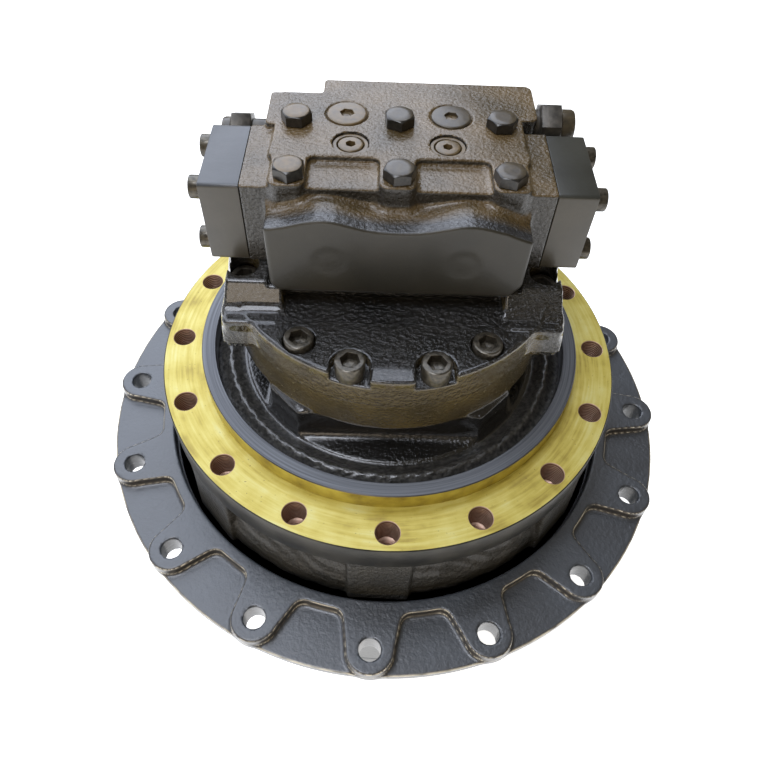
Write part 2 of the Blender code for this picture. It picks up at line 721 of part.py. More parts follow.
def bolt_recess_outline(x, y, seat):
    """A round recess round a bolt head. The two front ones are open towards the front, as a U."""
    if abs(x) > COVER_BOLT_CIRCLES[0] / 2:
        return circle(COVER_BOLT_RECESS_RADIUS, SMALL_SEGMENTS, (x, y))
    half = FRONT_POCKET_HALF_WIDTH
    front = -COVER_RADIUS
    return [(x - half, front), (x + half, front), *arc((x, y), half, 0.0, 180.0, 8)]


def make_rear_cover():
    plate = prism([casing_outline()], rise(PARTING_HEIGHT + SEAT_GAP), rise(COVER_TOP_HEIGHT))
    cover = placed("rear_cover", plate, "cast paint")
    seat = VALVE_SEAT_HEIGHT - SEAT_GAP
    platform = block((-PLATFORM_HALF_WIDTH, PLATFORM_HALF_WIDTH), (PLATFORM_FRONT_Y, PLATFORM_BACK_Y),
                     (rise(COVER_TOP_HEIGHT - OVERRUN), rise(seat)))
    combine(cover, helper("valve_platform", platform), "UNION")
    ears = merged([ear_shape(side, EAR_INNER_X, seat) for side in (-1, 1)])
    combine(cover, helper("ears", ears), "UNION")
    raised = VALVE_SEAT_HEIGHT + EAR_TOP_RISE
    shoulders = merged([ear_shape(side, EAR_SHOULDER_X, raised) for side in (-1, 1)])
    combine(cover, helper("ear_shoulders", shoulders), "UNION")
    recess = merged([
        prism([bolt_recess_outline(x, y, seat)], rise(seat), rise(VALVE_SEAT_HEIGHT + OVERRUN))
        for x, y, seat in cover_bolts()
    ])
    combine(cover, helper("cover_bolt_recesses", recess), "DIFFERENCE")
    holes = bores(
        cover_bolt_places(), COVER_BOLT_SHANK + SEAT_GAP,
        rise(PARTING_HEIGHT - OVERRUN), rise(COVER_TOP_HEIGHT), BOLT_SEGMENTS,
    )
    combine(cover, helper("cover_bolt_holes", holes), "DIFFERENCE")
    shaft_hole = prism(
        [clear_bore(SHAFT_UPPER_RADIUS, RUNNING_GAP, SMALL_SEGMENTS)],
        rise(PARTING_HEIGHT - OVERRUN), rise(SHAFT_TOP_RISE + AXIAL_PLAY),
    )
    combine(cover, helper("cover_shaft_hole", shaft_hole), "DIFFERENCE")
    return cover


def make_cover_bolts():
    for number, (x, y, recess) in enumerate(cover_bolts(), 1):
        seat = recess + SEAT_GAP
        length = seat - PARTING_HEIGHT + COVER_BOLT_ENGAGEMENT - AXIAL_PLAY
        screw, socket = socket_head(
            COVER_BOLT_HEAD_RADIUS, COVER_BOLT_HEAD_HEIGHT, COVER_BOLT_SHANK, length,
            COVER_BOLT_SOCKET, COVER_BOLT_SOCKET_DEPTH,
        )
        name = f"rear_cover_bolt_{number}"
        place = (x, y, rise(seat))
        bolt = placed(name, screw, "black oxide", place)
        combine(bolt, helper(name + "_socket", socket, place), "DIFFERENCE")


# Brake valve

def port_block():
    """The block in front that carries the two hose ports: a front outline with two humps, drawn back."""
    half = PORT_BLOCK_HALF_WIDTH
    cut = PORT_BLOCK_CHAMFER
    base = VALVE_SEAT_HEIGHT + PORT_BLOCK_BASE_RISE
    top = VALVE_TOP_HEIGHT
    right = [
        (half - cut, base), (half, base + cut),
        (half, top - PORT_BLOCK_SHOULDER_DROP), (PORT_HUMP_X, top - PORT_HUMP_DROP),
    ]
    outline = right + [(0.0, top - PORT_DIP_DROP)] + [(-x, z) for x, z in reversed(right)]
    shape = prism([outline], PORT_FACE_Y, PORT_BLOCK_BACK_Y)
    standing = Matrix(((1, 0, 0, 0), (0, 0, 1, 0), (0, 1, 0, 0), (0, 0, 0, 1)))
    return moved(shape, (0.0, 0.0, FRAME_FACE_HEIGHT), standing)


def valve_block_outline():
    """The plan of the valve's main block. It widens behind the arms, and its left rear corner is notched."""
    half = VALVE_HALF_WIDTH
    left, right = RELIEF_SEATS_X
    slope = VALVE_STEP_SLOPE
    corner = VALVE_CORNER
    return [
        (half, VALVE_FRONT_Y), (half, VALVE_RIGHT_STEP_Y - slope), (right, VALVE_RIGHT_STEP_Y),
        (right, VALVE_BACK_Y - corner), (right - corner, VALVE_BACK_Y),
        (VALVE_NOTCH_X, VALVE_BACK_Y), (VALVE_NOTCH_X, VALVE_NOTCH_Y), (-left, VALVE_NOTCH_Y),
        (-left, VALVE_LEFT_STEP_Y), (-half, VALVE_LEFT_STEP_Y - slope), (-half, VALVE_FRONT_Y),
    ]


def along_x(shape, x, y, height):
    """Lays a shape that stands on Z along +X, at a height above the frame face."""
    return moved(shape, (x, y, rise(height)), Matrix.Rotation(math.radians(90.0), 4, "Y"))


def valve_places(xs, ys):
    return [(x, y) for x in xs for y in ys]


def make_valve_body():
    base = rise(VALVE_SEAT_HEIGHT)
    top = rise(VALVE_TOP_HEIGHT)
    body = placed("valve_body", prism([valve_block_outline()], base, top), "cast paint")
    arms = block((-ARM_HALF_LENGTH, ARM_HALF_LENGTH), (ARM_FRONT_Y, ARM_BACK_Y),
                 (rise(ARM_BASE_HEIGHT), rise(ARM_TOP_HEIGHT)))
    combine(body, helper("valve_arms", arms), "UNION")
    combine(body, helper("port_block", port_block()), "UNION")
    pockets = merged([
        prism([rounded_rectangle(sorted((side * POCKET_INNER_X, side * POCKET_OUTER_X)),
                                 (VALVE_FRONT_Y - OVERRUN - POCKET_CORNER, POCKET_BACK_Y), POCKET_CORNER)],
              top - POCKET_DEPTH, top + OVERRUN)
        for side in (-1, 1)
    ])
    combine(body, helper("valve_pockets", pockets), "DIFFERENCE")
    spool_bore = along_x(
        prism([circle(SPOOL_RADIUS + RUNNING_GAP, SMALL_SEGMENTS)],
              -ARM_HALF_LENGTH - OVERRUN, ARM_HALF_LENGTH + OVERRUN), 0.0, SPOOL_Y, SPOOL_HEIGHT)
    combine(body, helper("spool_bore", spool_bore), "DIFFERENCE")
    bolt_holes = bores(
        valve_places(VALVE_BOLT_X, VALVE_BOLT_Y), VALVE_BOLT_SHANK + SEAT_GAP,
        top - VALVE_BOLT_DEPTH - AXIAL_PLAY, top + OVERRUN, BOLT_SEGMENTS,
    )
    combine(body, helper("valve_bolt_holes", bolt_holes), "DIFFERENCE")
    plug_holes = merged([
        bores(valve_places((-BIG_PLUG_X, BIG_PLUG_X), (BIG_PLUG_Y,)), BIG_PLUG_RADIUS + SEAT_GAP,
              top - BIG_PLUG_DEPTH - SEAT_GAP, top + OVERRUN, SMALL_SEGMENTS),
        bores(valve_places((-CHECK_PLUG_X, CHECK_PLUG_X), (CHECK_PLUG_Y,)), CHECK_PLUG_RECESS_RADIUS,
              rise(CHECK_PLUG_FACE_HEIGHT), top + OVERRUN, SMALL_SEGMENTS),
    ])
    combine(body, helper("valve_plug_holes", plug_holes), "DIFFERENCE")
    check_holes = bores(
        valve_places((-CHECK_PLUG_X, CHECK_PLUG_X), (CHECK_PLUG_Y,)), CHECK_PLUG_RADIUS + SEAT_GAP,
        rise(CHECK_PLUG_FACE_HEIGHT - CHECK_PLUG_DEPTH - SEAT_GAP), top, BOLT_SEGMENTS,
    )
    combine(body, helper("check_plug_holes", check_holes), "DIFFERENCE")
    relief_bores = []
    for side, seat, sunk in zip((-1, 1), RELIEF_SEATS_X, RELIEF_DROPS):
        reach = sorted((side * (seat - RELIEF_BORE_DEPTH), side * (seat + OVERRUN)))
        bore = prism([circle(RELIEF_NECK_RADIUS + SEAT_GAP, BOLT_SEGMENTS)], *reach)
        relief_bores.append(along_x(bore, 0.0, RELIEF_Y, VALVE_TOP_HEIGHT - sunk))
    combine(body, helper("relief_bores", merged(relief_bores)), "DIFFERENCE")
    return body


def make_valve_bolts():
    number = 1
    for x, y in valve_places(VALVE_BOLT_X, VALVE_BOLT_Y):
        shape = hex_head_bolt(VALVE_BOLT_FLATS, VALVE_BOLT_HEAD_HEIGHT, VALVE_BOLT_SHANK, VALVE_BOLT_DEPTH)
        place = (x, y, rise(VALVE_TOP_HEIGHT + SEAT_GAP))
        placed(f"valve_bolt_{number}", shape, "black oxide", place)
        number += 1


def make_valve_plugs():
    for side, word in ((-1, "left"), (1, "right")):
        socket_plug(
            f"makeup_plug_{word}", BIG_PLUG_RADIUS, BIG_PLUG_DEPTH, BIG_PLUG_STANDS, BIG_PLUG_SOCKET,
            "black oxide", (side * BIG_PLUG_X, BIG_PLUG_Y, rise(VALVE_TOP_HEIGHT)),
        )
        socket_plug(
            f"check_plug_{word}", CHECK_PLUG_RADIUS, CHECK_PLUG_DEPTH, 0.0, CHECK_PLUG_SOCKET,
            "black oxide",
            (side * CHECK_PLUG_X, CHECK_PLUG_Y, rise(CHECK_PLUG_FACE_HEIGHT)),
            BOLT_SEGMENTS,
        )


def make_end_caps():
    """The two caps that close the spool bore, each with the heads of its four screws."""
    for side, word in ((-1, "left"), (1, "right")):
        inner = side * (ARM_HALF_LENGTH + SEAT_GAP)
        outer = inner + side * CAP_THICKNESS
        shape = block(sorted((inner, outer)), (ARM_FRONT_Y, ARM_BACK_Y),
                      (rise(ARM_BASE_HEIGHT), rise(ARM_TOP_HEIGHT)))
        cap = placed(f"spool_cap_{word}", shape, "cap paint")
        heads = []
        inset = CAP_SCREW_INSET_SHARE * (ARM_TOP_HEIGHT - ARM_BASE_HEIGHT)
        for y in (ARM_FRONT_Y + CAP_SCREW_INSET_Y, ARM_BACK_Y - CAP_SCREW_INSET_Y):
            for z in (ARM_BASE_HEIGHT + inset, ARM_TOP_HEIGHT - inset):
                reach = sorted((outer - side * CAP_SCREW_HEAD, outer + side * CAP_SCREW_HEAD))
                heads.append(along_x(prism([circle(CAP_SCREW_RADIUS, BOLT_SEGMENTS)], *reach), 0.0, y, z))
        combine(cap, helper(f"cap_screws_{word}", merged(heads)), "UNION")
        hollow = along_x(
            prism([circle(CAP_BORE_RADIUS, SMALL_SEGMENTS)],
                  *sorted((inner - side * OVERRUN, inner + side * CAP_BORE_DEPTH))),
            0.0, SPOOL_Y, SPOOL_HEIGHT)
        combine(cap, helper(f"cap_bore_{word}", hollow), "DIFFERENCE")


def make_spool():
    """The counterbalance spool: a land at each end and one in the middle, with necks between."""
    r = SPOOL_RADIUS
    n = SPOOL_NECK_RADIUS
    end = SPOOL_HALF_LENGTH
    land = SPOOL_LAND
    half = [(n, land / 2), (n, end - land), (r, end - land), (r, end), (0.0, end)]
    profile = [(x, -z) for x, z in reversed(half)] + [(r, -land / 2), (r, land / 2)] + half
    shape = turned(profile, SMALL_SEGMENTS)
    turn = Matrix.Rotation(math.radians(90.0), 3, "Y")
    placed("counterbalance_spool", shape, "steel", (0.0, SPOOL_Y, rise(SPOOL_HEIGHT)), turn)


def make_relief_valves():
    for number, (side, word) in enumerate(((-1, "left"), (1, "right"))):
        hexed = hexagon(RELIEF_FLATS, math.radians(30.0))
        start = RELIEF_SEATS_X[number] + SEAT_GAP
        shoulder = start + RELIEF_NECKS[number]
        end = shoulder + RELIEF_HEX
        body = prism([hexed], shoulder, end)
        stem = prism([circle(RELIEF_NECK_RADIUS, BOLT_SEGMENTS)], start - RELIEF_BORE_DEPTH + AXIAL_PLAY,
                     shoulder + OVERRUN)
        tip = prism([circle(RELIEF_TIP_RADIUS, BOLT_SEGMENTS)], end - OVERRUN, end + RELIEF_TIPS[number])
        turn = Matrix.Rotation(math.radians(90.0 * side), 4, "Y")
        place = (0.0, RELIEF_Y, rise(VALVE_TOP_HEIGHT - RELIEF_DROPS[number]))
        valve = placed(f"relief_valve_{word}", moved(body, place, turn), "black oxide")
        combine(valve, helper(f"relief_stem_{word}", moved(stem, place, turn)), "UNION")
        combine(valve, helper(f"relief_tip_{word}", moved(tip, place, turn)), "UNION")


# Hub

def lobed_land():
    """The raised face of the sprocket flange: a ring with a rounded lobe round each bolt hole."""
    outline = []
    root = POCKET_INNER_RADIUS
    for k in range(SPROCKET_BOLTS):
        turn = math.radians(HUB_REST_ANGLE + 360.0 * k / SPROCKET_BOLTS)
        pocket = math.pi * 2 * root / SPROCKET_BOLTS / 2
        foot = pocket - POCKET_HALF_WIDTH
        lobe = [
            (-foot - POCKET_CORNER_CUT, -root), (-foot, -root - POCKET_CORNER_CUT),
            *arc((0.0, -SPROCKET_BOLT_CIRCLE), LOBE_END_RADIUS, -165.0, -15.0, 5),
            (foot, -root - POCKET_CORNER_CUT), (foot + POCKET_CORNER_CUT, -root),
        ]
        outline += [(x * math.cos(turn) - y * math.sin(turn), x * math.sin(turn) + y * math.cos(turn))
                    for x, y in lobe]
    bottom = drop(SPROCKET_FACE_DROP + LOBE_DEPTH)
    return prism([outline, circle(LAND_INNER_RADIUS, LARGE_SEGMENTS)], bottom, drop(SPROCKET_FACE_DROP))


def hub_profile():
    """The turned section of the hub, down its outside and up its bore, without the raised lobes."""
    disc_top = SPROCKET_FACE_DROP + LOBE_STEP
    disc_end = SPROCKET_FACE_DROP + FLANGE_THICKNESS
    pocket_lip = SEAL_SPLIT_DROP + SEAL_LIP_GAP
    floor = SEAL_SPLIT_DROP + SEAL_POCKET_DEPTH
    bore = BEARING_OUTER_RADIUS + SEAT_GAP
    return [
        (LAND_INNER_RADIUS, drop(disc_top)),
        (RIM_RADIUS, drop(disc_top)),
        (RIM_RADIUS, drop(disc_top + RIM_WALL)),
        (RIM_FOOT_RADIUS, drop(disc_end)),
        (HUB_BODY_RADIUS + HUB_FILLET, drop(disc_end)),
        (HUB_BODY_RADIUS, drop(disc_end + HUB_FILLET)),
        (HUB_BODY_RADIUS, drop(BEARING_END_DROP)),
        (HUB_END_RADIUS, drop(BEARING_END_DROP + HUB_FILLET)),
        (HUB_END_RADIUS, drop(HUB_END_DROP - SEAT_GAP)),
        (bore, drop(HUB_END_DROP - SEAT_GAP)),
        (bore, drop(BEARING_TOP_DROP)),
        (SEAL_POCKET_INNER_RADIUS, drop(BEARING_TOP_DROP)),
        (SEAL_POCKET_INNER_RADIUS, drop(floor)),
        (SEAL_POCKET_RADIUS, drop(floor)),
        (SEAL_POCKET_RADIUS, drop(pocket_lip)),
        (LAND_INNER_RADIUS, drop(pocket_lip)),
    ]


def make_hub():
    hub = placed("hub_housing", turned(hub_profile(), LARGE_SEGMENTS), "flange paint")
    combine(hub, helper("sprocket_lobes", lobed_land()), "UNION")
    places = [from_front(SPROCKET_BOLT_CIRCLE, HUB_REST_ANGLE + 360.0 * k / SPROCKET_BOLTS)
              for k in range(SPROCKET_BOLTS)]
    holes = bores(
        places, SPROCKET_BOLT_BORE, drop(SPROCKET_FACE_DROP + FLANGE_THICKNESS + OVERRUN),
        drop(SPROCKET_FACE_DROP - OVERRUN), BOLT_SEGMENTS,
    )
    combine(hub, helper("sprocket_bolt_holes", holes), "DIFFERENCE")
    return hub


def make_ring_gear():
    outlines = [circle(RING_GEAR_OUTER_RADIUS, LARGE_SEGMENTS), ring_outline()]
    length = RING_GEAR_END_DROP - HUB_END_DROP
    placed("ring_gear", prism(outlines, 0.0, length), "gear steel", (0.0, 0.0, drop(RING_GEAR_END_DROP)))


def make_end_cover():
    thickness = COVER_RIM_THICKNESS + COVER_BOSS_HEIGHT
    profile = [
        (0.0, thickness - COVER_DISH_DEPTH),
        (COVER_DISH_RADIUS - COVER_DISH_DEPTH, thickness - COVER_DISH_DEPTH),
        (COVER_DISH_RADIUS, thickness),
        (RING_GEAR_OUTER_RADIUS, thickness),
        (RING_GEAR_OUTER_RADIUS, COVER_BOSS_HEIGHT),
        (COVER_BOSS_RADIUS + COVER_BOSS_HEIGHT, COVER_BOSS_HEIGHT),
        (COVER_BOSS_RADIUS, 0.0),
        (0.0, 0.0),
    ]
    cover = placed("end_cover", turned(profile, LARGE_SEGMENTS), "flange paint")
    heads = merged([
        moved(prism([hexagon(COVER_SCREW_FLATS)], COVER_BOSS_HEIGHT - COVER_SCREW_HEAD,
                    COVER_BOSS_HEIGHT + OVERRUN),
              (*from_front(COVER_SCREW_CIRCLE, 360.0 * (k + 0.5) / COVER_SCREWS), 0.0))
        for k in range(COVER_SCREWS)
    ])
    combine(cover, helper("end_cover_screws", heads), "UNION")
    places = [polar(OIL_PLUG_CIRCLE, angle) for angle in OIL_PLUG_ANGLES]
    sockets = bores(places, OIL_PLUG_RADIUS + SEAT_GAP, -OVERRUN,
                    OIL_PLUG_SUNK + OIL_PLUG_DEPTH + SEAT_GAP, BOLT_SEGMENTS)
    combine(cover, helper("oil_plug_holes", sockets), "DIFFERENCE")
    for word, (x, y) in zip(("drain", "level", "fill"), places):
        name = f"{word}_plug"
        plug = placed(name, prism([circle(OIL_PLUG_RADIUS, BOLT_SEGMENTS)], OIL_PLUG_SUNK,
                                  OIL_PLUG_SUNK + OIL_PLUG_DEPTH), "steel", (x, y, 0.0))
        socket = prism([hexagon(OIL_PLUG_SOCKET)], OIL_PLUG_SUNK - OVERRUN,
                       OIL_PLUG_SUNK + OIL_PLUG_DEPTH / 2)
        combine(plug, helper(name + "_socket", socket, (x, y, 0.0)), "DIFFERENCE")


def make_thrust_plate():
    base = COVER_RIM_THICKNESS + COVER_BOSS_HEIGHT - COVER_DISH_DEPTH + SEAT_GAP
    thickness = drop(PLANET_1_END_DROP) - RUNNING_GAP - base
    disc = prism([circle(THRUST_PLATE_RADIUS, SMALL_SEGMENTS)], 0.0, thickness)
    placed("thrust_plate", disc, "bronze", (0.0, 0.0, base))


# Seals and bearings

def make_seals():
    """Two lapped steel rings face to face, each held in its pocket by a rubber toric."""
    ring = [
        (SEAL_INNER_RADIUS, SEAT_GAP / 2), (SEAL_FACE_RADIUS, SEAT_GAP / 2), (SEAL_FACE_RADIUS, SEAL_RIM),
        (SEAL_FACE_RADIUS - SEAL_CONE, SEAL_RIM + SEAL_CONE), (SEAL_INNER_RADIUS, SEAL_HEIGHT),
    ]
    reach = (TORIC_RADIUS * math.cos(math.pi / 6) + SEAT_GAP) / math.sqrt(2.0)
    toric = circle(TORIC_RADIUS, 6, (SEAL_FACE_RADIUS - SEAL_CONE / 2 + reach,
                                     SEAL_RIM + SEAL_CONE / 2 + reach), math.radians(15.0))
    for word, way in (("upper", 1), ("lower", -1)):
        place = (0.0, 0.0, drop(SEAL_SPLIT_DROP))
        for name, section, finish in (("seal_ring", ring, "steel"), ("seal_toric", toric, "rubber")):
            shape = turned([(r, way * z) for r, z in section], RING_SEGMENTS)
            placed(f"{name}_{word}", shape, finish, place)


def roller_ring(middle, roller_radius):
    """The outline of a cage with its rollers: an inner and an outer loop that swell round each roller."""
    outer, inner = [], []
    half = BEARING_CAGE_THICKNESS / 2
    edge = math.asin(min(1.0, roller_radius / middle))
    swell = edge / 2
    for k in range(BEARING_ROLLERS):
        centre = 2 * math.pi * k / BEARING_ROLLERS
        for angle, out in ((-edge, half), (-swell, roller_radius), (swell, roller_radius), (edge, half)):
            turn = (math.cos(centre + angle), math.sin(centre + angle))
            outer.append(((middle + out) * turn[0], (middle + out) * turn[1]))
            inner.append(((middle - out) * turn[0], (middle - out) * turn[1]))
    return outer, inner


def make_bearings():
    """Two taper roller bearings back to back, their inner rings on the spindle, the outer in the hub."""
    inner = BEARING_BORE_RADIUS
    outer = BEARING_OUTER_RADIUS
    race = BEARING_RING
    taper = BEARING_TAPER
    width = BEARING_WIDTH - SEAT_GAP
    middle = (inner + outer) / 2
    facet_sag = outer * (1 - math.cos(math.pi / LARGE_SEGMENTS))
    roller = (outer - inner) / 2 - race - RUNNING_GAP - facet_sag
    cone = [(inner, 0.0), (inner + race - taper, 0.0), (inner + race + taper, width), (inner, width)]
    cup = [(outer - race - taper, 0.0), (outer, 0.0), (outer, width), (outer - race + taper, width)]
    for word, way, gap in (("upper", 1, 0.0), ("lower", -1, SEAT_GAP)):
        place = (0.0, 0.0, drop(BEARING_TOP_DROP + BEARING_WIDTH + gap))
        for name, section in (("bearing_inner", cone), ("bearing_outer", cup)):
            shape = turned([(r, way * z) for r, z in section], LARGE_SEGMENTS)
            placed(f"{name}_{word}", shape, "steel", place)
        margin = 2 * SEAT_GAP
        shape = bmesh.new()
        sections = []
        for height in (margin, width - margin):
            lean = taper * (2 * height / width - 1)
            loops = roller_ring(middle + lean, roller)
            sections.append([[shape.verts.new((x, y, way * height)) for x, y in loop] for loop in loops])
        (low_out, low_in), (high_out, high_in) = sections
        for i in range(len(low_out)):
            j = (i + 1) % len(low_out)
            shape.faces.new((low_out[i], low_out[j], high_out[j], high_out[i]))
            shape.faces.new((low_in[j], low_in[i], high_in[i], high_in[j]))
            shape.faces.new((low_out[j], low_out[i], low_in[i], low_in[j]))
            shape.faces.new((high_out[i], high_out[j], high_in[j], high_in[i]))
        bmesh.ops.recalc_face_normals(shape, faces=shape.faces)
        placed(f"bearing_rollers_{word}", shape, "steel", place)


def make_bearing_nut():
    """The slotted ring nut that draws the bearings up on the spindle."""
    outer = []
    half = math.degrees(math.asin(NUT_SLOT_WIDTH / NUT_RADIUS)) / 2
    for k in range(NUT_SLOTS):
        centre = 360.0 * k / NUT_SLOTS
        outer += [polar(NUT_RADIUS, centre - half), polar(NUT_RADIUS - NUT_SLOT_DEPTH, centre - half),
                  polar(NUT_RADIUS - NUT_SLOT_DEPTH, centre + half)]
        outer += arc((0.0, 0.0), NUT_RADIUS, centre + half, centre + 360.0 / NUT_SLOTS - half, 7)[:-1]
    bore = circle(NUT_THREAD_RADIUS + SEAT_GAP, LARGE_SEGMENTS)
    shape = prism([outer, bore], 0.0, NUT_THICKNESS)
    placed("bearing_nut", shape, "steel", (0.0, 0.0, drop(NUT_END_DROP)))


# Planetary train

def planet_places(centre, first_angle):
    return [(*polar(centre, first_angle + 360.0 * k / PLANETS), first_angle + 360.0 * k / PLANETS)
            for k in range(PLANETS)]


def make_carrier(name, radius, bore, pin_radius, pin_length, thickness, centre, angle, top_drop):
    """A carrier plate with its planet pins pressed in from below."""
    plate = prism([circle(radius, RING_SEGMENTS), bore], -thickness, 0.0)
    place = (0.0, 0.0, drop(top_drop))
    carrier = placed(name, plate, "gear steel", place)
    pins = merged([
        prism([circle(pin_radius, SMALL_SEGMENTS, (x, y))], -thickness - pin_length, -thickness / 2)
        for x, y, _ in planet_places(centre, angle)
    ])
    combine(carrier, helper(name + "_pins", pins, place), "UNION")
    return carrier


def make_planets(stage, teeth, centre, first_angle, width, pin_radius, top_drop, parent=None):
    for number, (x, y, angle) in enumerate(planet_places(centre, first_angle), 1):
        bore = clear_bore(pin_radius, RUNNING_GAP, SMALL_SEGMENTS)
        shape = prism([gear_outline(teeth, angle), bore], -width, 0.0)
        placed(f"planet_{stage}_{number}", shape, "gear steel", (x, y, drop(top_drop)), parent=parent)


def make_sun_2():
    """The second sun: teeth above, and a splined hub that drives from the first carrier below."""
    top = PLANET_2_TOP_DROP
    teeth_length = PLANET_2_WIDTH + AXIAL_PLAY - SEAT_GAP
    outlines = [gear_outline(SUN_2_TEETH, STAGE_2_ANGLE), circle(SUN_2_BORE_RADIUS, SMALL_SEGMENTS)]
    place = (0.0, 0.0, drop(top))
    sun = placed("sun_2", prism(outlines, -teeth_length, 0.0), "gear steel", place)
    hub = prism([circle(SUN_2_HUB_RADIUS, SMALL_SEGMENTS), circle(SUN_2_BORE_RADIUS, SMALL_SEGMENTS)],
                -teeth_length - CARRIER_1_THICKNESS, -teeth_length / 2)
    combine(sun, helper("sun_2_hub", hub, place), "UNION")


def make_sun_1():
    """The first sun, cut on the end of the drive shaft that comes down from the motor."""
    half_space = 180.0 / SUN_1_TEETH
    teeth = prism([gear_outline(SUN_1_TEETH, STAGE_1_ANGLE + half_space)], -PLANET_1_WIDTH, 0.0)
    place = (0.0, 0.0, drop(PLANET_1_TOP_DROP))
    sun = placed("sun_1", teeth, "gear steel", place)
    length = PLANET_1_TOP_DROP - SHAFT_BOTTOM_DROP + SHAFT_SOCKET_DEPTH - AXIAL_PLAY
    stem = prism([circle(SUN_1_STEM_RADIUS, SMALL_SEGMENTS)], -PLANET_1_WIDTH / 2, length)
    combine(sun, helper("sun_1_stem", stem, place), "UNION")


# Motor shaft line

def make_motor_shaft():
    socket = SUN_1_STEM_RADIUS + SEAT_GAP
    shoulder = drop(MOTOR_BORE_DEPTH)
    profile = [
        (0.0, rise(SHAFT_TOP_RISE)),
        (SHAFT_UPPER_RADIUS, rise(SHAFT_TOP_RISE)),
        (SHAFT_UPPER_RADIUS, shoulder),
        (SHAFT_RADIUS, shoulder),
        (SHAFT_RADIUS, drop(SHAFT_BOTTOM_DROP)),
        (socket, drop(SHAFT_BOTTOM_DROP)),
        (socket, drop(SHAFT_BOTTOM_DROP - SHAFT_SOCKET_DEPTH)),
        (0.0, drop(SHAFT_BOTTOM_DROP - SHAFT_SOCKET_DEPTH)),
    ]
    placed("motor_shaft", turned(profile, SMALL_SEGMENTS), "steel")


def make_shaft_bearing_and_seal():
    top = MOTOR_BORE_DEPTH + SEAT_GAP
    shaft_bore = clear_bore(SHAFT_RADIUS, RUNNING_GAP, SMALL_SEGMENTS)
    ring = [circle(SHAFT_BEARING_RADIUS, SMALL_SEGMENTS), shaft_bore]
    height = SHAFT_BEARING_WIDTH - 2 * SEAT_GAP
    placed("shaft_bearing", prism(ring, -height, 0.0), "steel", (0.0, 0.0, drop(top)))
    lip = [circle(SHAFT_SEAL_RADIUS, SMALL_SEGMENTS), shaft_bore]
    level = MOTOR_BORE_DEPTH + SHAFT_BEARING_WIDTH + SHAFT_SEAL_WIDTH
    placed("shaft_seal", prism(lip, -SHAFT_SEAL_WIDTH + SEAT_GAP, 0.0), "rubber", (0.0, 0.0, drop(level)))


def make_cylinder_block():
    outline = [circle(BLOCK_RADIUS, RING_SEGMENTS), circle(SHAFT_UPPER_RADIUS + SEAT_GAP, SMALL_SEGMENTS)]
    place = (0.0, 0.0, drop(BLOCK_BASE_DROP))
    cylinder_block = placed("cylinder_block", prism(outline, 0.0, BLOCK_LENGTH), "gear steel", place)
    places = [polar(BLOCK_PISTON_CIRCLE, 360.0 * k / BLOCK_PISTONS) for k in range(BLOCK_PISTONS)]
    cylinders = bores(places, BLOCK_PISTON_BORE, -OVERRUN, BLOCK_BORE_DEPTH, BOLT_SEGMENTS)
    combine(cylinder_block, helper("cylinders", cylinders, place), "DIFFERENCE")


def make_valve_plate():
    top = PARTING_HEIGHT
    shaft_bore = clear_bore(SHAFT_UPPER_RADIUS, RUNNING_GAP, SMALL_SEGMENTS)
    ring = prism([circle(BLOCK_RADIUS, RING_SEGMENTS), shaft_bore], -VALVE_PLATE_THICKNESS, 0.0)
    placed("valve_plate", ring, "bronze", (0.0, 0.0, rise(top)))


def make_brake_piston():
    ring = [circle(MOTOR_BORE_RADIUS - RUNNING_GAP, LARGE_SEGMENTS),
            circle(BRAKE_RING_RADIUS, LARGE_SEGMENTS)]
    top = PARTING_HEIGHT - BRAKE_STROKE - RUNNING_GAP
    placed("brake_piston", prism(ring, -BRAKE_RING_LENGTH, 0.0), "gear steel", (0.0, 0.0, rise(top)))


def build():
    for old in list(bpy.data.objects):
        bpy.data.objects.remove(old, do_unlink=True)
    make_spindle()
    make_rear_cover()
    make_cover_bolts()
    make_valve_body()
    make_valve_bolts()
    make_valve_plugs()
    make_end_caps()
    make_spool()
    make_relief_valves()
    make_hub()
    make_ring_gear()
    make_end_cover()
    make_thrust_plate()
    make_seals()
    make_bearings()
    make_bearing_nut()
    spline_seat = circle(SPLINE_END_RADIUS + SEAT_GAP, LARGE_SEGMENTS)
    make_carrier("carrier_2", CARRIER_2_RADIUS, spline_seat, PIN_2_RADIUS, PLANET_2_WIDTH,
                 CARRIER_2_THICKNESS, PLANET_2_CENTRE, STAGE_2_ANGLE, CARRIER_2_TOP_DROP)
    make_planets(2, PLANET_2_TEETH, PLANET_2_CENTRE, STAGE_2_ANGLE, PLANET_2_WIDTH, PIN_2_RADIUS,
                 PLANET_2_TOP_DROP)
    sun_seat = circle(SUN_2_HUB_RADIUS + SEAT_GAP, SMALL_SEGMENTS)
    make_carrier("carrier_1", CARRIER_1_RADIUS, sun_seat, PIN_1_RADIUS, PLANET_1_WIDTH,
                 CARRIER_1_THICKNESS, PLANET_1_CENTRE, STAGE_1_ANGLE, CARRIER_1_TOP_DROP)
    make_planets(1, PLANET_1_TEETH, PLANET_1_CENTRE, STAGE_1_ANGLE, PLANET_1_WIDTH, PIN_1_RADIUS,
                 PLANET_1_TOP_DROP)
    make_sun_2()
    make_sun_1()
    make_motor_shaft()
    make_shaft_bearing_and_seal()
    make_cylinder_block()
    make_valve_plate()
    make_brake_piston()


build()
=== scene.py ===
"""Excavator final drive, dressed: castings, turned faces, screws and their paint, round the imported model."""

import math

import bmesh
import bpy
import numpy as np
from mathutils import Matrix


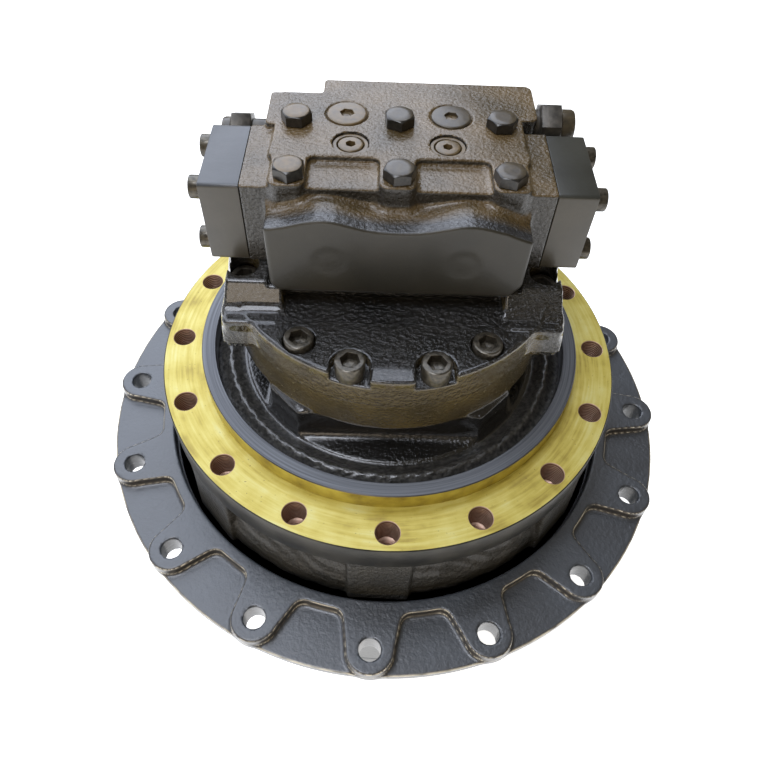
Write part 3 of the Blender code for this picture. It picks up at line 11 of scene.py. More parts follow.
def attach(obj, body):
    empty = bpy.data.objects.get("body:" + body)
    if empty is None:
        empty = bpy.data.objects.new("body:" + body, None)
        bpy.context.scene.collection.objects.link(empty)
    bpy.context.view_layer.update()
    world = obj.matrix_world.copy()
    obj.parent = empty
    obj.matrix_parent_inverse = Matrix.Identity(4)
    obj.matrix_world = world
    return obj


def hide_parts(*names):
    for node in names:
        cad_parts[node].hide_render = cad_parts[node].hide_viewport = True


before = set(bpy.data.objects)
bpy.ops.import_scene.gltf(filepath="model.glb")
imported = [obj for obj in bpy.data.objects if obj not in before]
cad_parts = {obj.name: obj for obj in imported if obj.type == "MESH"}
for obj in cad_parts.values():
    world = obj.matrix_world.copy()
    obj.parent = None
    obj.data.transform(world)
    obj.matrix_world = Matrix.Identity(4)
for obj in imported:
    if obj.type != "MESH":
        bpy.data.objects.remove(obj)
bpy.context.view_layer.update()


# Frame flange and spindle.
# The spindle is one ductile iron casting that carries the whole drive. Its flange is turned and drilled for
# sixteen bolts, and the turned face and the spigot's side keep the yellow rust-proofing varnish of the works.

FACE_HEIGHT = 0.374          # metres from the rest face to the frame face; shapes are in mm above that
FRAME_HOLES = 16
FRAME_HOLE_CIRCLE = 200.0
FRAME_HOLE_RADIUS = 9.5
FRAME_FACE_EDGE = 215.3
SPIGOT_RADIUS = 177.5
ROUND = 384                  # steps round the large turned pieces


def net(rows, columns):
    """The quads of a grid whose rows are closed loops, with corners (i, j), (i, j + 1), (i + 1, j + 1) and
    (i + 1, j)."""
    i, j = np.meshgrid(np.arange(rows - 1), np.arange(columns), indexing="ij")
    here, above = i * columns, (i + 1) * columns
    following = (j + 1) % columns
    corners = [here + j, here + following, above + following, above + j]
    return np.stack(corners, -1).reshape(-1, 4)


def soften(corners, reach, steps=3):
    """A closed outline with eased corners: near corner V the curve is (1-t)^2 A + 2t(1-t) V + t^2 B,
    where A and B lie on the two sides of the corner, at most the reach away."""
    v = np.asarray(corners, float)
    before = np.roll(v, 1, 0) - v
    after = np.roll(v, -1, 0) - v
    long_before = np.linalg.norm(before, axis=1)
    long_after = np.linalg.norm(after, axis=1)
    reach = np.broadcast_to(np.asarray(reach, float), len(v))
    a = v + before * (np.minimum(reach, 0.45 * long_before) / long_before)[:, None]
    b = v + after * (np.minimum(reach, 0.45 * long_after) / long_after)[:, None]
    t = np.linspace(0.0, 1.0, steps + 1)[None, :, None]
    curve = (1 - t) ** 2 * a[:, None] + 2 * t * (1 - t) * v[:, None] + t ** 2 * b[:, None]
    return curve.reshape(-1, v.shape[1])


def turned(radii, heights, columns=ROUND, start=0.0, closed=True):
    """A profile carried round the axis: x = r cos a, y = r sin a, z = h, where r may also change with a."""
    r = np.asarray(radii, float)
    r = np.broadcast_to(r[:, None], (len(r), columns)) if r.ndim == 1 else r
    h = np.asarray(heights, float)
    h = np.broadcast_to(h[:, None], (len(h), columns)) if h.ndim == 1 else h
    if closed:
        r, h = np.vstack([r, r[:1]]), np.vstack([h, h[:1]])
    angle = start + np.arange(columns) * 2 * np.pi / columns
    points = np.stack([r * np.cos(angle), r * np.sin(angle), h], -1)
    return points.reshape(-1, 3), net(len(r), columns)


def drilled_face(inner, outer, height, bolt_circle, bore, holes, first, across=24, along=8):
    """A flat ring with holes. In each sector the face is P(u, s) = rim(u) + s (edge(u) - rim(u)), from the
    hole's rim to the sector's edge, and the rows before it, pairs of radius and height, go down the hole."""
    half = np.pi / holes
    arc = np.linspace(-half, half, across + 1)[:-1]
    side = np.linspace(0.0, 1.0, along + 1)[:-1]
    rho = np.concatenate([np.full(across, outer), outer + (inner - outer) * side,
                          np.full(across, inner), inner + (outer - inner) * side])
    phi = np.concatenate([arc, np.full(along, half), -arc, np.full(along, -half)])
    edge = np.stack([rho * np.cos(phi), rho * np.sin(phi)], -1)
    bearing = np.arctan2(edge[:, 1], edge[:, 0] - bolt_circle)
    ring = np.stack([np.cos(bearing), np.sin(bearing)], -1)
    middle = np.array([bolt_circle, 0.0])
    rows = [np.column_stack([middle + r * ring, np.full(len(rho), z)]) for r, z in bore]
    rim = middle + bore[-1][0] * ring
    rows += [np.column_stack([rim + s * (edge - rim), np.full(len(rho), height)])
             for s in (0.1, 0.3, 0.6, 1.0)]
    sector = np.stack(rows)
    turn = first + np.arange(holes) * 2 * half
    x = np.multiply.outer(np.cos(turn), sector[..., 0]) - np.multiply.outer(np.sin(turn), sector[..., 1])
    y = np.multiply.outer(np.sin(turn), sector[..., 0]) + np.multiply.outer(np.cos(turn), sector[..., 1])
    points = np.stack([x, y, np.broadcast_to(sector[..., 2], x.shape)], -1).reshape(-1, 3)
    quads = net(len(rows), len(rho))
    faces = (quads[None] + (np.arange(holes) * len(rows) * len(rho))[:, None, None]).reshape(-1, 4)
    deep = np.tile(np.arange(len(quads)) // len(rho) < len(bore) - 1, holes)
    return points, faces, deep


def make_piece(name, sheets, finishes, body, nodes=(), crease=35.0, weld=True, marks=None):
    """One mesh from sheets of (points, faces, finish number), its seams joined and its faces outwards.
    Millimetres above the frame face become metres above the rest face."""
    points = np.concatenate([sheet[0] for sheet in sheets]) * 0.001
    points[:, 2] += FACE_HEIGHT
    faces, kinds, start = [], [], 0
    for sheet in sheets:
        faces.extend((np.asarray(sheet[1]) + start).tolist())
        kinds.append(np.broadcast_to(sheet[2], len(sheet[1])))
        start += len(sheet[0])
    mesh = bpy.data.meshes.new(name)
    mesh.from_pydata(points.tolist(), [], faces)
    for finish in finishes:
        mesh.materials.append(finish)
    mesh.polygons.foreach_set("material_index", np.concatenate(kinds).astype(np.int32))
    if marks is not None:
        mesh.attributes.new("worn", "FLOAT", "POINT").data.foreach_set("value", marks.astype(np.float32))
    if weld:
        shape = bmesh.new()
        shape.from_mesh(mesh)
        bmesh.ops.remove_doubles(shape, verts=shape.verts, dist=2e-6)
        bmesh.ops.dissolve_degenerate(shape, edges=shape.edges, dist=1e-6)
        bmesh.ops.recalc_face_normals(shape, faces=shape.faces)
        shape.to_mesh(mesh)
        shape.free()
    mesh.update()
    mesh.shade_smooth()
    mesh.set_sharp_from_angle(angle=math.radians(crease))
    piece = bpy.data.objects.new(name, mesh)
    bpy.context.scene.collection.objects.link(piece)
    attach(piece, body)
    if nodes:
        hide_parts(*nodes)
    return piece


def linear(code):
    """An sRGB hex colour as linear light: c / 12.92 up to 0.04045, and ((c + 0.055) / 1.055) ^ 2.4 above."""
    c = np.array([int(code[i:i + 2], 16) for i in (0, 2, 4)]) / 255.0
    return (*np.where(c <= 0.04045, c / 12.92, ((c + 0.055) / 1.055) ** 2.4).tolist(), 1.0)


def add(tree, kind, inputs=None, **settings):
    """One shader node, with its settings by name and its inputs from values or from other nodes' sockets."""
    node = tree.nodes.new("ShaderNode" + kind)
    for name, value in settings.items():
        setattr(node, name, value)
    for name, value in (inputs or {}).items():
        if isinstance(value, bpy.types.NodeSocket):
            tree.links.new(value, node.inputs[name])
        else:
            node.inputs[name].default_value = value
    return node


def start_finish(name, **sockets):
    """A new material with the given shader sockets set, its node tree and its Object coordinates."""
    material = bpy.data.materials.new(name)
    material.use_nodes = True
    tree = material.node_tree
    shader = tree.nodes["Principled BSDF"]
    for socket, value in sockets.items():
        shader.inputs[socket.replace("_", " ")].default_value = value
    return material, tree, add(tree, "TexCoord").outputs["Object"]


def blotches(tree, where, size, detail=3.0):
    """Soft cloudy noise whose patches are about this many millimetres across."""
    return add(tree, "TexNoise", {"Vector": where, "Scale": 1000.0 / size, "Detail": detail}).outputs["Fac"]


def shade(tree, amount, *stops):
    """A colour that follows an amount from 0 to 1 through stops of (position, hex)."""
    ramp = add(tree, "ValToRGB", {"Fac": amount})
    marks = ramp.color_ramp.elements
    for number, (position, code) in ((0, stops[0]), (1, stops[-1])):
        marks[number].position, marks[number].color = position, linear(code)
    for position, code in stops[1:-1]:
        marks.new(position).color = linear(code)
    return ramp.outputs["Color"]


def mixed(tree, amount, first, second):
    """One colour, given as a socket or as a hex, carried to another by an amount from 0 to 1."""
    first, second = (linear(c) if isinstance(c, str) else c for c in (first, second))
    return add(tree, "Mix", {0: amount, 6: first, 7: second}, data_type="RGBA").outputs[2]


def between(tree, amount, low, high):
    """An amount from 0 to 1 carried to the range from low to high."""
    return add(tree, "MapRange", {"Value": amount, "To Min": low, "To Max": high}).outputs["Result"]


def relief(tree, height, depth, under=None):
    """A bump of this many millimetres at height 1, on top of another one if it is given."""
    inputs = {"Height": height, "Distance": depth * 0.001, "Strength": 1.0}
    if under is not None:
        inputs["Normal"] = under
    return add(tree, "Bump", inputs).outputs["Normal"]


def surface(tree, colour, rough, normal=None):
    """The colour, the roughness and, where there is one, the bump of a finish, linked to its shader."""
    for socket, source in (("Base Color", colour), ("Roughness", rough), ("Normal", normal)):
        if source is not None:
            tree.links.new(source, tree.nodes["Principled BSDF"].inputs[socket])


def round_streaks(tree, where, width, length):
    """Noise drawn out round the axis: it is read at (r / width, R cos a / length, R sin a / length), so its
    patches are this many millimetres across and along the turn, with no seam."""
    flat = add(tree, "VectorMath", {0: where, 1: (1.0, 1.0, 0.0)}, operation="MULTIPLY").outputs[0]
    away = add(tree, "VectorMath", {0: flat}, operation="LENGTH").outputs["Value"]
    unit = add(tree, "VectorMath", {0: flat}, operation="NORMALIZE").outputs[0]
    aim = add(tree, "VectorMath", {0: unit, 3: FRAME_HOLE_CIRCLE / length}, operation="SCALE").outputs[0]
    outward = add(tree, "Math", {0: away, 1: 1000.0 / width}, operation="MULTIPLY").outputs[0]
    lift = add(tree, "CombineXYZ", {2: outward}).outputs[0]
    spot = add(tree, "VectorMath", {0: aim, 1: lift}, operation="ADD").outputs[0]
    return add(tree, "TexNoise", {"Vector": spot, "Scale": 1.0, "Detail": 4.0}).outputs["Fac"]


def wave_scale(pitch):
    """A wave texture's scale for bands this many millimetres apart: 2 pi / (20 * pitch in metres)."""
    return 2 * math.pi / (20.0 * pitch * 0.001)


# Rust-proofing varnish on a turned iron face: a thin translucent yellow over bright metal, so it reads as
# greenish gold. It was brushed on round the face, so it is thicker in long streaks over the turning marks.
varnish, tree, where = start_finish("yellow_varnish_on_turned_iron", Metallic=0.2)
patches = blotches(tree, where, 34.0, 5.0)
streaks = round_streaks(tree, where, 3.2, 50.0)
marks = round_streaks(tree, where, 0.9, 90.0)
patch_share = add(tree, "Math", {0: patches, 1: 0.55}, operation="MULTIPLY").outputs[0]
streak_share = add(tree, "Math", {0: streaks, 1: 0.45}, operation="MULTIPLY").outputs[0]
blend = add(tree, "Math", {0: patch_share, 1: streak_share}, operation="ADD").outputs[0]
colour = shade(tree, blend, (0.36, "a08d36"), (0.46, "bfae4e"), (0.56, "cdc068"), (0.66, "d3cc87"))
pits = add(tree, "MapRange", {"Value": blotches(tree, where, 2.2, 2.0), "From Min": 0.68, "From Max": 0.78})
surface(tree, mixed(tree, pits.outputs[0], colour, "6d5a2a"), between(tree, streaks, 0.30, 0.52),
        relief(tree, marks, 0.12, relief(tree, patches, 0.3)))

# Deeper gold on the spigot's side, where the varnish ran thicker.
gold, tree, where = start_finish("thick_varnish_on_turned_iron", Metallic=0.35)
runs = blotches(tree, where, 16.0, 4.0)
surface(tree, shade(tree, runs, (0.3, "8f7a30"), (0.5, "b8a544"), (0.7, "cdbd58")),
        between(tree, runs, 0.25, 0.42))

# The spigot's end is turned iron wiped with black oil: dull blue-grey metal with fine rings.
oiled, tree, where = start_finish("oiled_turned_iron", Metallic=0.7)
marks = round_streaks(tree, where, 1.1, 120.0)
surface(tree, shade(tree, marks, (0.3, "47484b"), (0.7, "686a6d")), between(tree, marks, 0.28, 0.46),
        relief(tree, marks, 0.08))

# The flange's side is turned too, and browned by old oil: soft patches of light and shade come and go round
# it, over the 1.4 mm rings of the tool.
browned, tree, where = start_finish("browned_turned_side", Metallic=0.55)
film = blotches(tree, where, 28.0, 4.0)
rings = add(tree, "TexWave", {"Vector": where, "Scale": wave_scale(1.4), "Distortion": 0.5},
            wave_type="BANDS", bands_direction="Z").outputs["Fac"]
surface(tree, shade(tree, film, (0.3, "2b2a26"), (0.7, "504d45")), between(tree, film, 0.26, 0.42),
        relief(tree, rings, 0.02))

# Black enamel sprayed over turned sides: smooth and glossy, with a faint orange peel 3 mm across.
enamel, tree, where = start_finish("black_enamel_on_turned_iron", Coat_Weight=0.8, Coat_Roughness=0.14)
dust = blotches(tree, where, 45.0, 5.0)
surface(tree, shade(tree, dust, (0.35, "161514"), (0.7, "2b2825")), between(tree, dust, 0.22, 0.42),
        relief(tree, blotches(tree, where, 3.0, 2.0), 0.12))

# Tapped holes keep brown cutting oil; the 2.5 mm thread shows as rings down the hole, bumped and in painted
# light and shade: lighter crests, darker grooves.
tapped, tree, where = start_finish("oily_tapped_hole", Metallic=0.5, Roughness=0.42)
thread = add(tree, "TexWave", {"Vector": where, "Scale": wave_scale(2.5)},
             wave_type="BANDS", bands_direction="Z").outputs["Fac"]
surface(tree, shade(tree, thread, (0.2, "7d5e4c"), (0.8, "c8a994")), None, relief(tree, thread, 0.9))

quarter = math.radians(-90.0)
hole_side = math.pi / FRAME_HOLES
points, faces, deep = drilled_face(
    SPIGOT_RADIUS, FRAME_FACE_EDGE, 0.0, FRAME_HOLE_CIRCLE,
    [(0.0, -30.0), (FRAME_HOLE_RADIUS - 0.5, -28.0), (FRAME_HOLE_RADIUS, -26.0), (FRAME_HOLE_RADIUS, -1.2),
     (FRAME_HOLE_RADIUS + 1.2, 0.0)], FRAME_HOLES, quarter)
kinds = np.where(deep, 1, 0)
spigot = np.array([(SPIGOT_RADIUS, 0.0), (SPIGOT_RADIUS, 17.8), (176.7, 18.6), (165.3, 18.6), (164.5, 17.8),
                   (164.5, -14.0)])
inside = np.array([(82.0, -14.0), (82.0, -108.0), (45.3, -108.0), (45.3, -130.0), (38.3, -130.0),
                   (38.3, -146.0), (34.0, -146.0), (34.0, -243.1), (70.0, -243.1), (70.0, -220.3),
                   (127.0, -220.3), (127.0, -206.0), (129.7, -206.0), (129.7, -130.0), (142.0, -130.0),
                   (142.0, -96.0), (174.0, -86.5), (195.5, -86.5), (195.5, -103.3), (200.0, -103.3),
                   (200.0, -37.0), (203.0, -33.8)])
flange_side = np.array([(203.0, -33.8), (206.5, -32.6), (214.0, -32.0), (215.6, -31.5), (216.5, -30.5),
                        (216.5, -1.4), (216.2, -0.6), (FRAME_FACE_EDGE, 0.0)])
sheets = [(points, faces, kinds)]
for profile, kind in ((spigot[:2], 2), (spigot[1:], 3), (np.vstack([spigot[-1:], inside]), 4),
                      (flange_side, 5)):
    sheets.append((*turned(profile[:, 0], profile[:, 1], ROUND, quarter - hole_side, closed=False), kind))
make_piece("spindle_turned", sheets, [varnish, tapped, gold, oiled, enamel, browned], "stator",
           crease=28.0)


# Motor casing on the spindle.
# The floor inside the spigot, its rough bead, the eight-sided neck and the round casing above it are the same
# casting, left as cast and sprayed glossy black-brown. Sand casting leaves no sharp edge anywhere.

CASING_RADIUS = 144.5
CASING_CENTRE = 21.5
CASING_BACK = 124.0
PARTING = 66.0
BEAD_RADIUS = 151.5
OCTAGON_HALF_WIDTH = 104.0
OCTAGON_HALF_DEPTH = 108.5
OCTAGON_CORNERS = 187.0      # where |x| + |y| is cut


def join(a, b, blend):
    """Two solids melted together: the lower distance, less blend * h * (1 - h) where they are close."""
    h = np.clip(0.5 + 0.5 * (b - a) / blend, 0.0, 1.0)
    return b + (a - b) * h - blend * h * (1.0 - h)


def both(a, b, blend):
    """What two solids share, with an edge as soft as the blend."""
    return -join(-a, -b, blend)


def without(a, b, blend):
    """A solid with another cut out of it, with an edge as soft as the blend."""
    return -join(-a, b, blend)


def corner_distance(a, b):
    """Distance to where two flat sides meet: the length of the outside parts of a and b, or the greater one
    inside."""
    return np.minimum(np.maximum(a, b), 0.0) + np.hypot(np.maximum(a, 0.0), np.maximum(b, 0.0))


def slab(flat, z, low, high, edge):
    """A flat shape carried from one height to another, its edges rounded: the corner distance of
    (flat + edge) and (|z - middle| - half + edge), less the edge."""
    level = np.abs(z - (low + high) / 2) - (high - low) / 2 + edge
    return corner_distance(flat + edge, level) - edge


def rectangle(x, y, left, right, front, back, corner):
    """Distance to a rectangle with round corners, by the same rule in the plane."""
    across = np.abs(x - (left + right) / 2) - (right - left) / 2 + corner
    along = np.abs(y - (front + back) / 2) - (back - front) / 2 + corner
    return corner_distance(across, along) - corner


def cast_skin(field, low, high, steps, round_axis=False):
    """The surface where a solid's distance field is zero. The field is read on a grid, each cell that it
    crosses gets one point at the mean of the crossings on its edges, and two steps of
    p - f grad(f) / |grad(f)|^2 put the points on the surface. With round_axis the grid is radius, angle and
    height. This takes the place of a two-parameter sheet because a casting's blends meet from many sides."""
    axes = [np.linspace(a, b, n + 1) for a, b, n in zip(low, high, steps)]
    u, v, w = np.meshgrid(*axes, indexing="ij", sparse=True)
    x, y = (u * np.cos(v), u * np.sin(v)) if round_axis else (u, v)
    f = np.broadcast_to(field(x, y, w), [n + 1 for n in steps])
    inside = f < 0.0
    corner = [np.s_[:-1], np.s_[1:]]
    full = sum(inside[corner[a], corner[b], corner[c]].astype(np.int8)
               for a in (0, 1) for b in (0, 1) for c in (0, 1))
    cells = np.nonzero((full > 0) & (full < 8))
    number = np.full(steps, -1, np.int32)
    number[cells] = np.arange(len(cells[0]))
    total = np.zeros((len(cells[0]), 3))
    count = np.zeros(len(cells[0]))
    for axis in range(3):
        for p in (0, 1):
            for q in (0, 1):
                start = [0, 0, 0]
                start[(axis + 1) % 3], start[(axis + 2) % 3] = p, q
                end = list(start)
                end[axis] = 1
                near = f[tuple(c + s for c, s in zip(cells, start))]
                far = f[tuple(c + s for c, s in zip(cells, end))]
                crossed = (near < 0.0) != (far < 0.0)
                share = np.where(crossed, near / np.where(crossed, near - far, 1.0), 0.0)
                spot = np.tile(np.array(start, float), (len(share), 1))
                spot[:, axis] = share
                total += spot * crossed[:, None]
                count += crossed
    total /= count[:, None]
    where = [axes[k][cells[k]] + total[:, k] * (axes[k][1] - axes[k][0]) for k in range(3)]
    if round_axis:
        where[:2] = [where[0] * np.cos(where[1]), where[0] * np.sin(where[1])]
    points = np.stack(where, -1)
    reach = 0.6 * max(axes[0][1] - axes[0][0], axes[2][1] - axes[2][0])
    for _ in range(2):
        here = field(*points.T)
        slope = np.stack([field(*(points + step).T) - here for step in 0.05 * np.eye(3)], -1) / 0.05
        move = here[:, None] * slope / np.maximum((slope ** 2).sum(1), 0.2)[:, None]
        far = np.linalg.norm(move, axis=1, keepdims=True)
        points -= move * np.minimum(1.0, reach / np.maximum(far, 1e-9))
    quads = []
    for axis in range(3):
        b, c = (axis + 1) % 3, (axis + 2) % 3
        change = np.diff(inside, axis=axis)
        spot = list(np.nonzero(change))
        keep = np.ones(len(spot[0]), bool)
        for other in (b, c):
            last = steps[other] - 1
            keep &= (spot[other] <= last) & ((spot[other] >= 1) | (round_axis and other == 1))
        spot = [s[keep] for s in spot]
        outward = inside[tuple(spot)]
        ring = []
        for back_b, back_c in ((1, 1), (0, 1), (0, 0), (1, 0)):
            cell = list(spot)
            cell[b] = (cell[b] - back_b) % steps[b]
            cell[c] = (cell[c] - back_c) % steps[c]
            ring.append(number[tuple(cell)])
        ring = np.stack(ring, -1)
        quads.append(np.where(outward[:, None], ring, ring[:, ::-1]))
    return points, np.concatenate(quads)


def casing_plan(x, y):
    """Distance to the outline of casing and rear cover: round in front, cut straight at the back."""
    return both(np.hypot(x, y - CASING_CENTRE) - CASING_RADIUS, y - CASING_BACK, 6.0)


def casing_solid(x, y, z):
    """Floor with its bead, eight-sided neck and round casing, melted together with wide cast fillets."""
    r = np.hypot(x, y)
    a = np.arctan2(y, x)
    rough = 1.0 + 0.035 * (np.sin(37.0 * a + 0.5 * r) + np.sin(61.0 * a - 0.7 * r)
                           + np.sin(97.0 * a + 1.1 * r) + np.sin(23.0 * a + 2.0 * np.sin(7.0 * a)))
    bead = 1.6 + 6.4 * np.exp(-((r - BEAD_RADIUS) / 6.3) ** 2) * rough
    floor = bead + (3.0 - bead) * np.clip((137.6 - r) / 1.2, 0.0, 1.0)
    ground = both(0.75 * (z - floor), r - 165.2, 1.0)
    ground = both(ground, -12.0 - z, 1.0)
    sides = np.maximum(np.abs(x) - OCTAGON_HALF_WIDTH, np.abs(y) - OCTAGON_HALF_DEPTH)
    corners = (np.abs(x) + np.abs(y) - OCTAGON_CORNERS) / math.sqrt(2.0)
    neck = slab(np.maximum(sides, corners), z, -10.0, 34.0, 3.0)
    flange = both(slab(casing_plan(x, y) + 0.4, z, 32.0, PARTING + 8.0, 3.0), z - PARTING - 2.5, 0.3)
    whole = join(join(neck, flange, 5.0), ground, 9.0)
    return without(whole, np.maximum(r - 82.0, 40.0 - z), 1.0)


def fine(step):
    return step * 1.0


def grid(low, high, step):
    """How many cells of about this step fit between two corners."""
    return tuple(int(round((b - a) / fine(step))) for a, b in zip(low, high))


def within(tree, where, axis, start, end):
    """How far a point's coordinate is from one value to another in millimetres, which Z counts above the
    frame face."""
    lift = FACE_HEIGHT if axis == "Z" else 0.0
    along = add(tree, "SeparateXYZ", {0: where}).outputs[axis]
    ends = {"From Min": lift + 0.001 * start, "From Max": lift + 0.001 * end}
    return add(tree, "MapRange", {"Value": along, **ends}).outputs[0]


def rough_paint(name, grain, depth, top, side, gloss, coat, shape=None, coat_blur=0.18):
    """Paint over sand-cast iron. The sand's grain shows through as two sizes of bump, and upward faces take
    one colour range and upright ones another, which on several finishes paints in the light that falls on
    each. The shape function may change colour, gloss and bump by place."""
    finish, tree, where = start_finish(name, Coat_Weight=coat, Coat_Roughness=coat_blur)
    fine_grain = blotches(tree, where, 0.45 * grain, 3.0)
    bumps = blotches(tree, where, grain, 2.0)
    tone = blotches(tree, where, 40.0, 5.0)
    upward = add(tree, "SeparateXYZ", {0: add(tree, "TexCoord").outputs["Normal"]}).outputs["Z"]
    upward = add(tree, "MapRange", {"Value": upward, "From Min": 0.25, "From Max": 0.5}).outputs[0]
    colour = mixed(tree, upward, shade(tree, tone, (0.3, side[0]), (0.7, side[1])),
                   shade(tree, tone, (0.3, top[0]), (0.7, top[1])))
    rough, strength = between(tree, bumps, gloss[0], gloss[1]), 1.0
    if shape is not None:
        colour, rough, strength = shape(tree, where, colour, rough)
    normal = None
    for height, size in ((fine_grain, 0.0003 * depth), (bumps, 0.001 * depth)):
        below = {} if normal is None else {"Normal": normal}
        inputs = {"Height": height, "Distance": size, "Strength": strength, **below}
        normal = add(tree, "Bump", inputs).outputs["Normal"]
    surface(tree, colour, rough, normal)
    return finish


def painted_shade_below(tree, where, colour, rough):
    """Painted shade: near black below the casing's round wall, under its overhang, and from 118 to 126 mm out
    to each side, on the outer sides of the ears.
    """
    colour = mixed(tree, within(tree, where, "Z", 35.0, 33.0), colour, "171614")
    for side in (-1.0, 1.0):
        colour = mixed(tree, within(tree, where, "X", 118.0 * side, 126.0 * side), colour, "171613")
    return colour, rough, 1.0


def dull_bead(tree, where, colour, rough):
    """The same painted shade, and a rougher dusty band on the bead, beyond a radius of 140 mm and lower than
    13 mm.
    """
    colour, rough, strength = painted_shade_below(tree, where, colour, rough)
    flat = add(tree, "VectorMath", {0: where, 1: (1.0, 1.0, 0.0)}, operation="MULTIPLY").outputs[0]
    away = add(tree, "VectorMath", {0: flat}, operation="LENGTH").outputs["Value"]
    band = add(tree, "MapRange", {"Value": away, "From Min": 0.138, "From Max": 0.141}).outputs[0]
    low = within(tree, where, "Z", 14.0, 12.0)
    band = add(tree, "Math", {0: band, 1: low}, operation="MULTIPLY").outputs[0]
    dusty = shade(tree, blotches(tree, where, 3.0, 4.0), (0.35, "1b1a18"), (0.75, "4a4843"))
    dull = add(tree, "Mix", {0: band, 2: rough, 3: 0.46}, data_type="FLOAT").outputs[0]
    return mixed(tree, band, colour, dusty), dull, strength


# Glossy black paint over sand-cast iron: near black on top, and golden brown on the upright sides, which is a
# painted reflection of the yellow flange below; dull and dusty on the bead.
cast = rough_paint("glossy_paint_on_sand_casting", 3.4, 1.0, ("101010", "1c1b1a"), ("433a23", "5d502f"),
                   (0.16, 0.32), 0.9, dull_bead)

low, high = (-170.0, -170.0, -16.0), (170.0, 170.0, 70.0)
points, quads = cast_skin(casing_solid, low, high, grid(low, high, 1.7))
make_piece("motor_casing", [(points, quads, 0)], [cast], "stator", ["spindle"], weld=False,
           crease=60.0)


# Neck and pads under the frame flange.
# The spindle's cast neck widens down to the hub, and six pads cast with it stiffen the flange where it
# overhangs. Nobody machines or cleans it, so its paint is rough and dusty.

PAD_ANGLES = (-1.4, -48.0, 48.0, -128.0, 128.0, 178.6)
PAD_HALF_WIDTH = 28.0
PAD_REACH = 214.6
NECK_RADIUS = 204.5
NECK_WIDENING = 10.0


def neck_solid(x, y, z):
    """A neck that widens downwards by a smooth step, with lumps of sand left on it, melted with the pads."""
    rho, phi = np.hypot(x, y), np.arctan2(x, -y)
    step = np.clip((-46.0 - z) / 36.0, 0.0, 1.0)
    lumps = 0.5 * np.sin(0.31 * z + 2.0 * np.sin(17.0 * phi)) * np.sin(43.0 * phi + 0.2 * z)
    whole = rho - NECK_RADIUS - NECK_WIDENING * step * step * (3.0 - 2.0 * step) - lumps
    for degrees in PAD_ANGLES:
        a = math.radians(degrees)
        out, across = x * math.sin(a) - y * math.cos(a), x * math.cos(a) + y * math.sin(a)
        face = out - PAD_REACH - 0.05 * (-32.0 - z)
        pad = both(both(face, np.abs(across) - PAD_HALF_WIDTH, 3.0), 190.0 - out, 1.0)
        whole = join(whole, pad, 4.0)
    return both(both(whole, z + 30.5, 1.0), -102.5 - z, 1.5)


# Black paint on the roughest casting, dulled by dust: grey-brown, with lumps 5 mm across.
neck_paint = rough_paint("dusty_paint_on_rough_casting", 5.0, 2.6, ("34322d", "44413a"), ("2e2d29", "45423b"),
                         (0.35, 0.55), 0.4)

low, high = (196.0, 0.0, -106.0), (222.0, 2 * math.pi, -27.0)
steps = (int(26 / fine(1.3)), 700, int(79 / fine(2.0)))
points, quads = cast_skin(neck_solid, low, high, steps, round_axis=True)
make_piece("neck_with_pads", [(points, quads, 0)], [neck_paint], "stator", weld=False,
           crease=60.0)


# Hub with the sprocket flange.
# The hub is cast iron and turns round the spindle. Its flange carries sixteen rounded lobes, drilled for the
# sprocket's bolts, and all of it is under dark blue-grey enamel.

LOBES = 16
LOBE_CIRCLE = 266.5
LOBE_TOP = -88.4
DISC_TOP = -98.4
DISC_END = -113.4
RIM = 285.5
RIM_END = -106.4
HUB_TURN = math.radians(-2.45)
HUB_RADIUS = 215.0
LOBE_TIP = 20.9
LOBE_HOLE = 9.6
LOBE_NECK = 25.0             # half the width of a lobe's neck 242 mm from the axis; it widens inwards
LAND_RADIUS = 235.6


def lobe_plan(x, y):
    """Distance to the lobed land, which is in each sector a round end, a neck that widens inwards and the
    ring; and the distances to the hole's middle and to the axis."""
    sector = 2 * math.pi / LOBES
    rho = np.hypot(x, y)
    phi = np.arctan2(y, x) + math.pi / 2 - HUB_TURN
    phi = (phi + sector / 2) % sector - sector / 2
    across, out = np.abs(rho * np.sin(phi)), rho * np.cos(phi)
    from_hole = np.hypot(across, out - LOBE_CIRCLE)
    side = (across - LOBE_NECK) * 0.986 + (out - 242.0) * 0.166
    neck = np.maximum(np.maximum(side, out - LOBE_CIRCLE), 226.0 - out)
    lobe = join(from_hole - LOBE_TIP, neck, 1.0)
    return join(lobe, rho - LAND_RADIUS, 9.0), from_hole, rho


def flange_solid(x, y, z):
    """Disc with an undercut rim, the lobed land on it, the foot that runs into the hub's body, less the holes
    and the seat round the neck."""
    land, from_hole, rho = lobe_plan(x, y)
    rim = both(rho - RIM, (rho - RIM) * 0.786 - (z - RIM_END) * 0.618, 1.0)
    disc = both(both(z - DISC_TOP, rim, 1.2), DISC_END - z, 1.2)
    raised = slab(land, z, LOBE_TOP - 16.0, LOBE_TOP, 1.3)
    whole = join(disc, raised, 3.5)
    body = both(rho - HUB_RADIUS, z - DISC_END - 4.0, 1.0)
    whole = join(whole, body, 16.0)
    whole = without(whole, from_hole - LOBE_HOLE, 1.2)
    whole = np.maximum(whole, 208.0 - rho)
    return without(np.maximum(whole, -134.0 - z), np.maximum(rho - 224.5, -105.7 - z), 1.5)
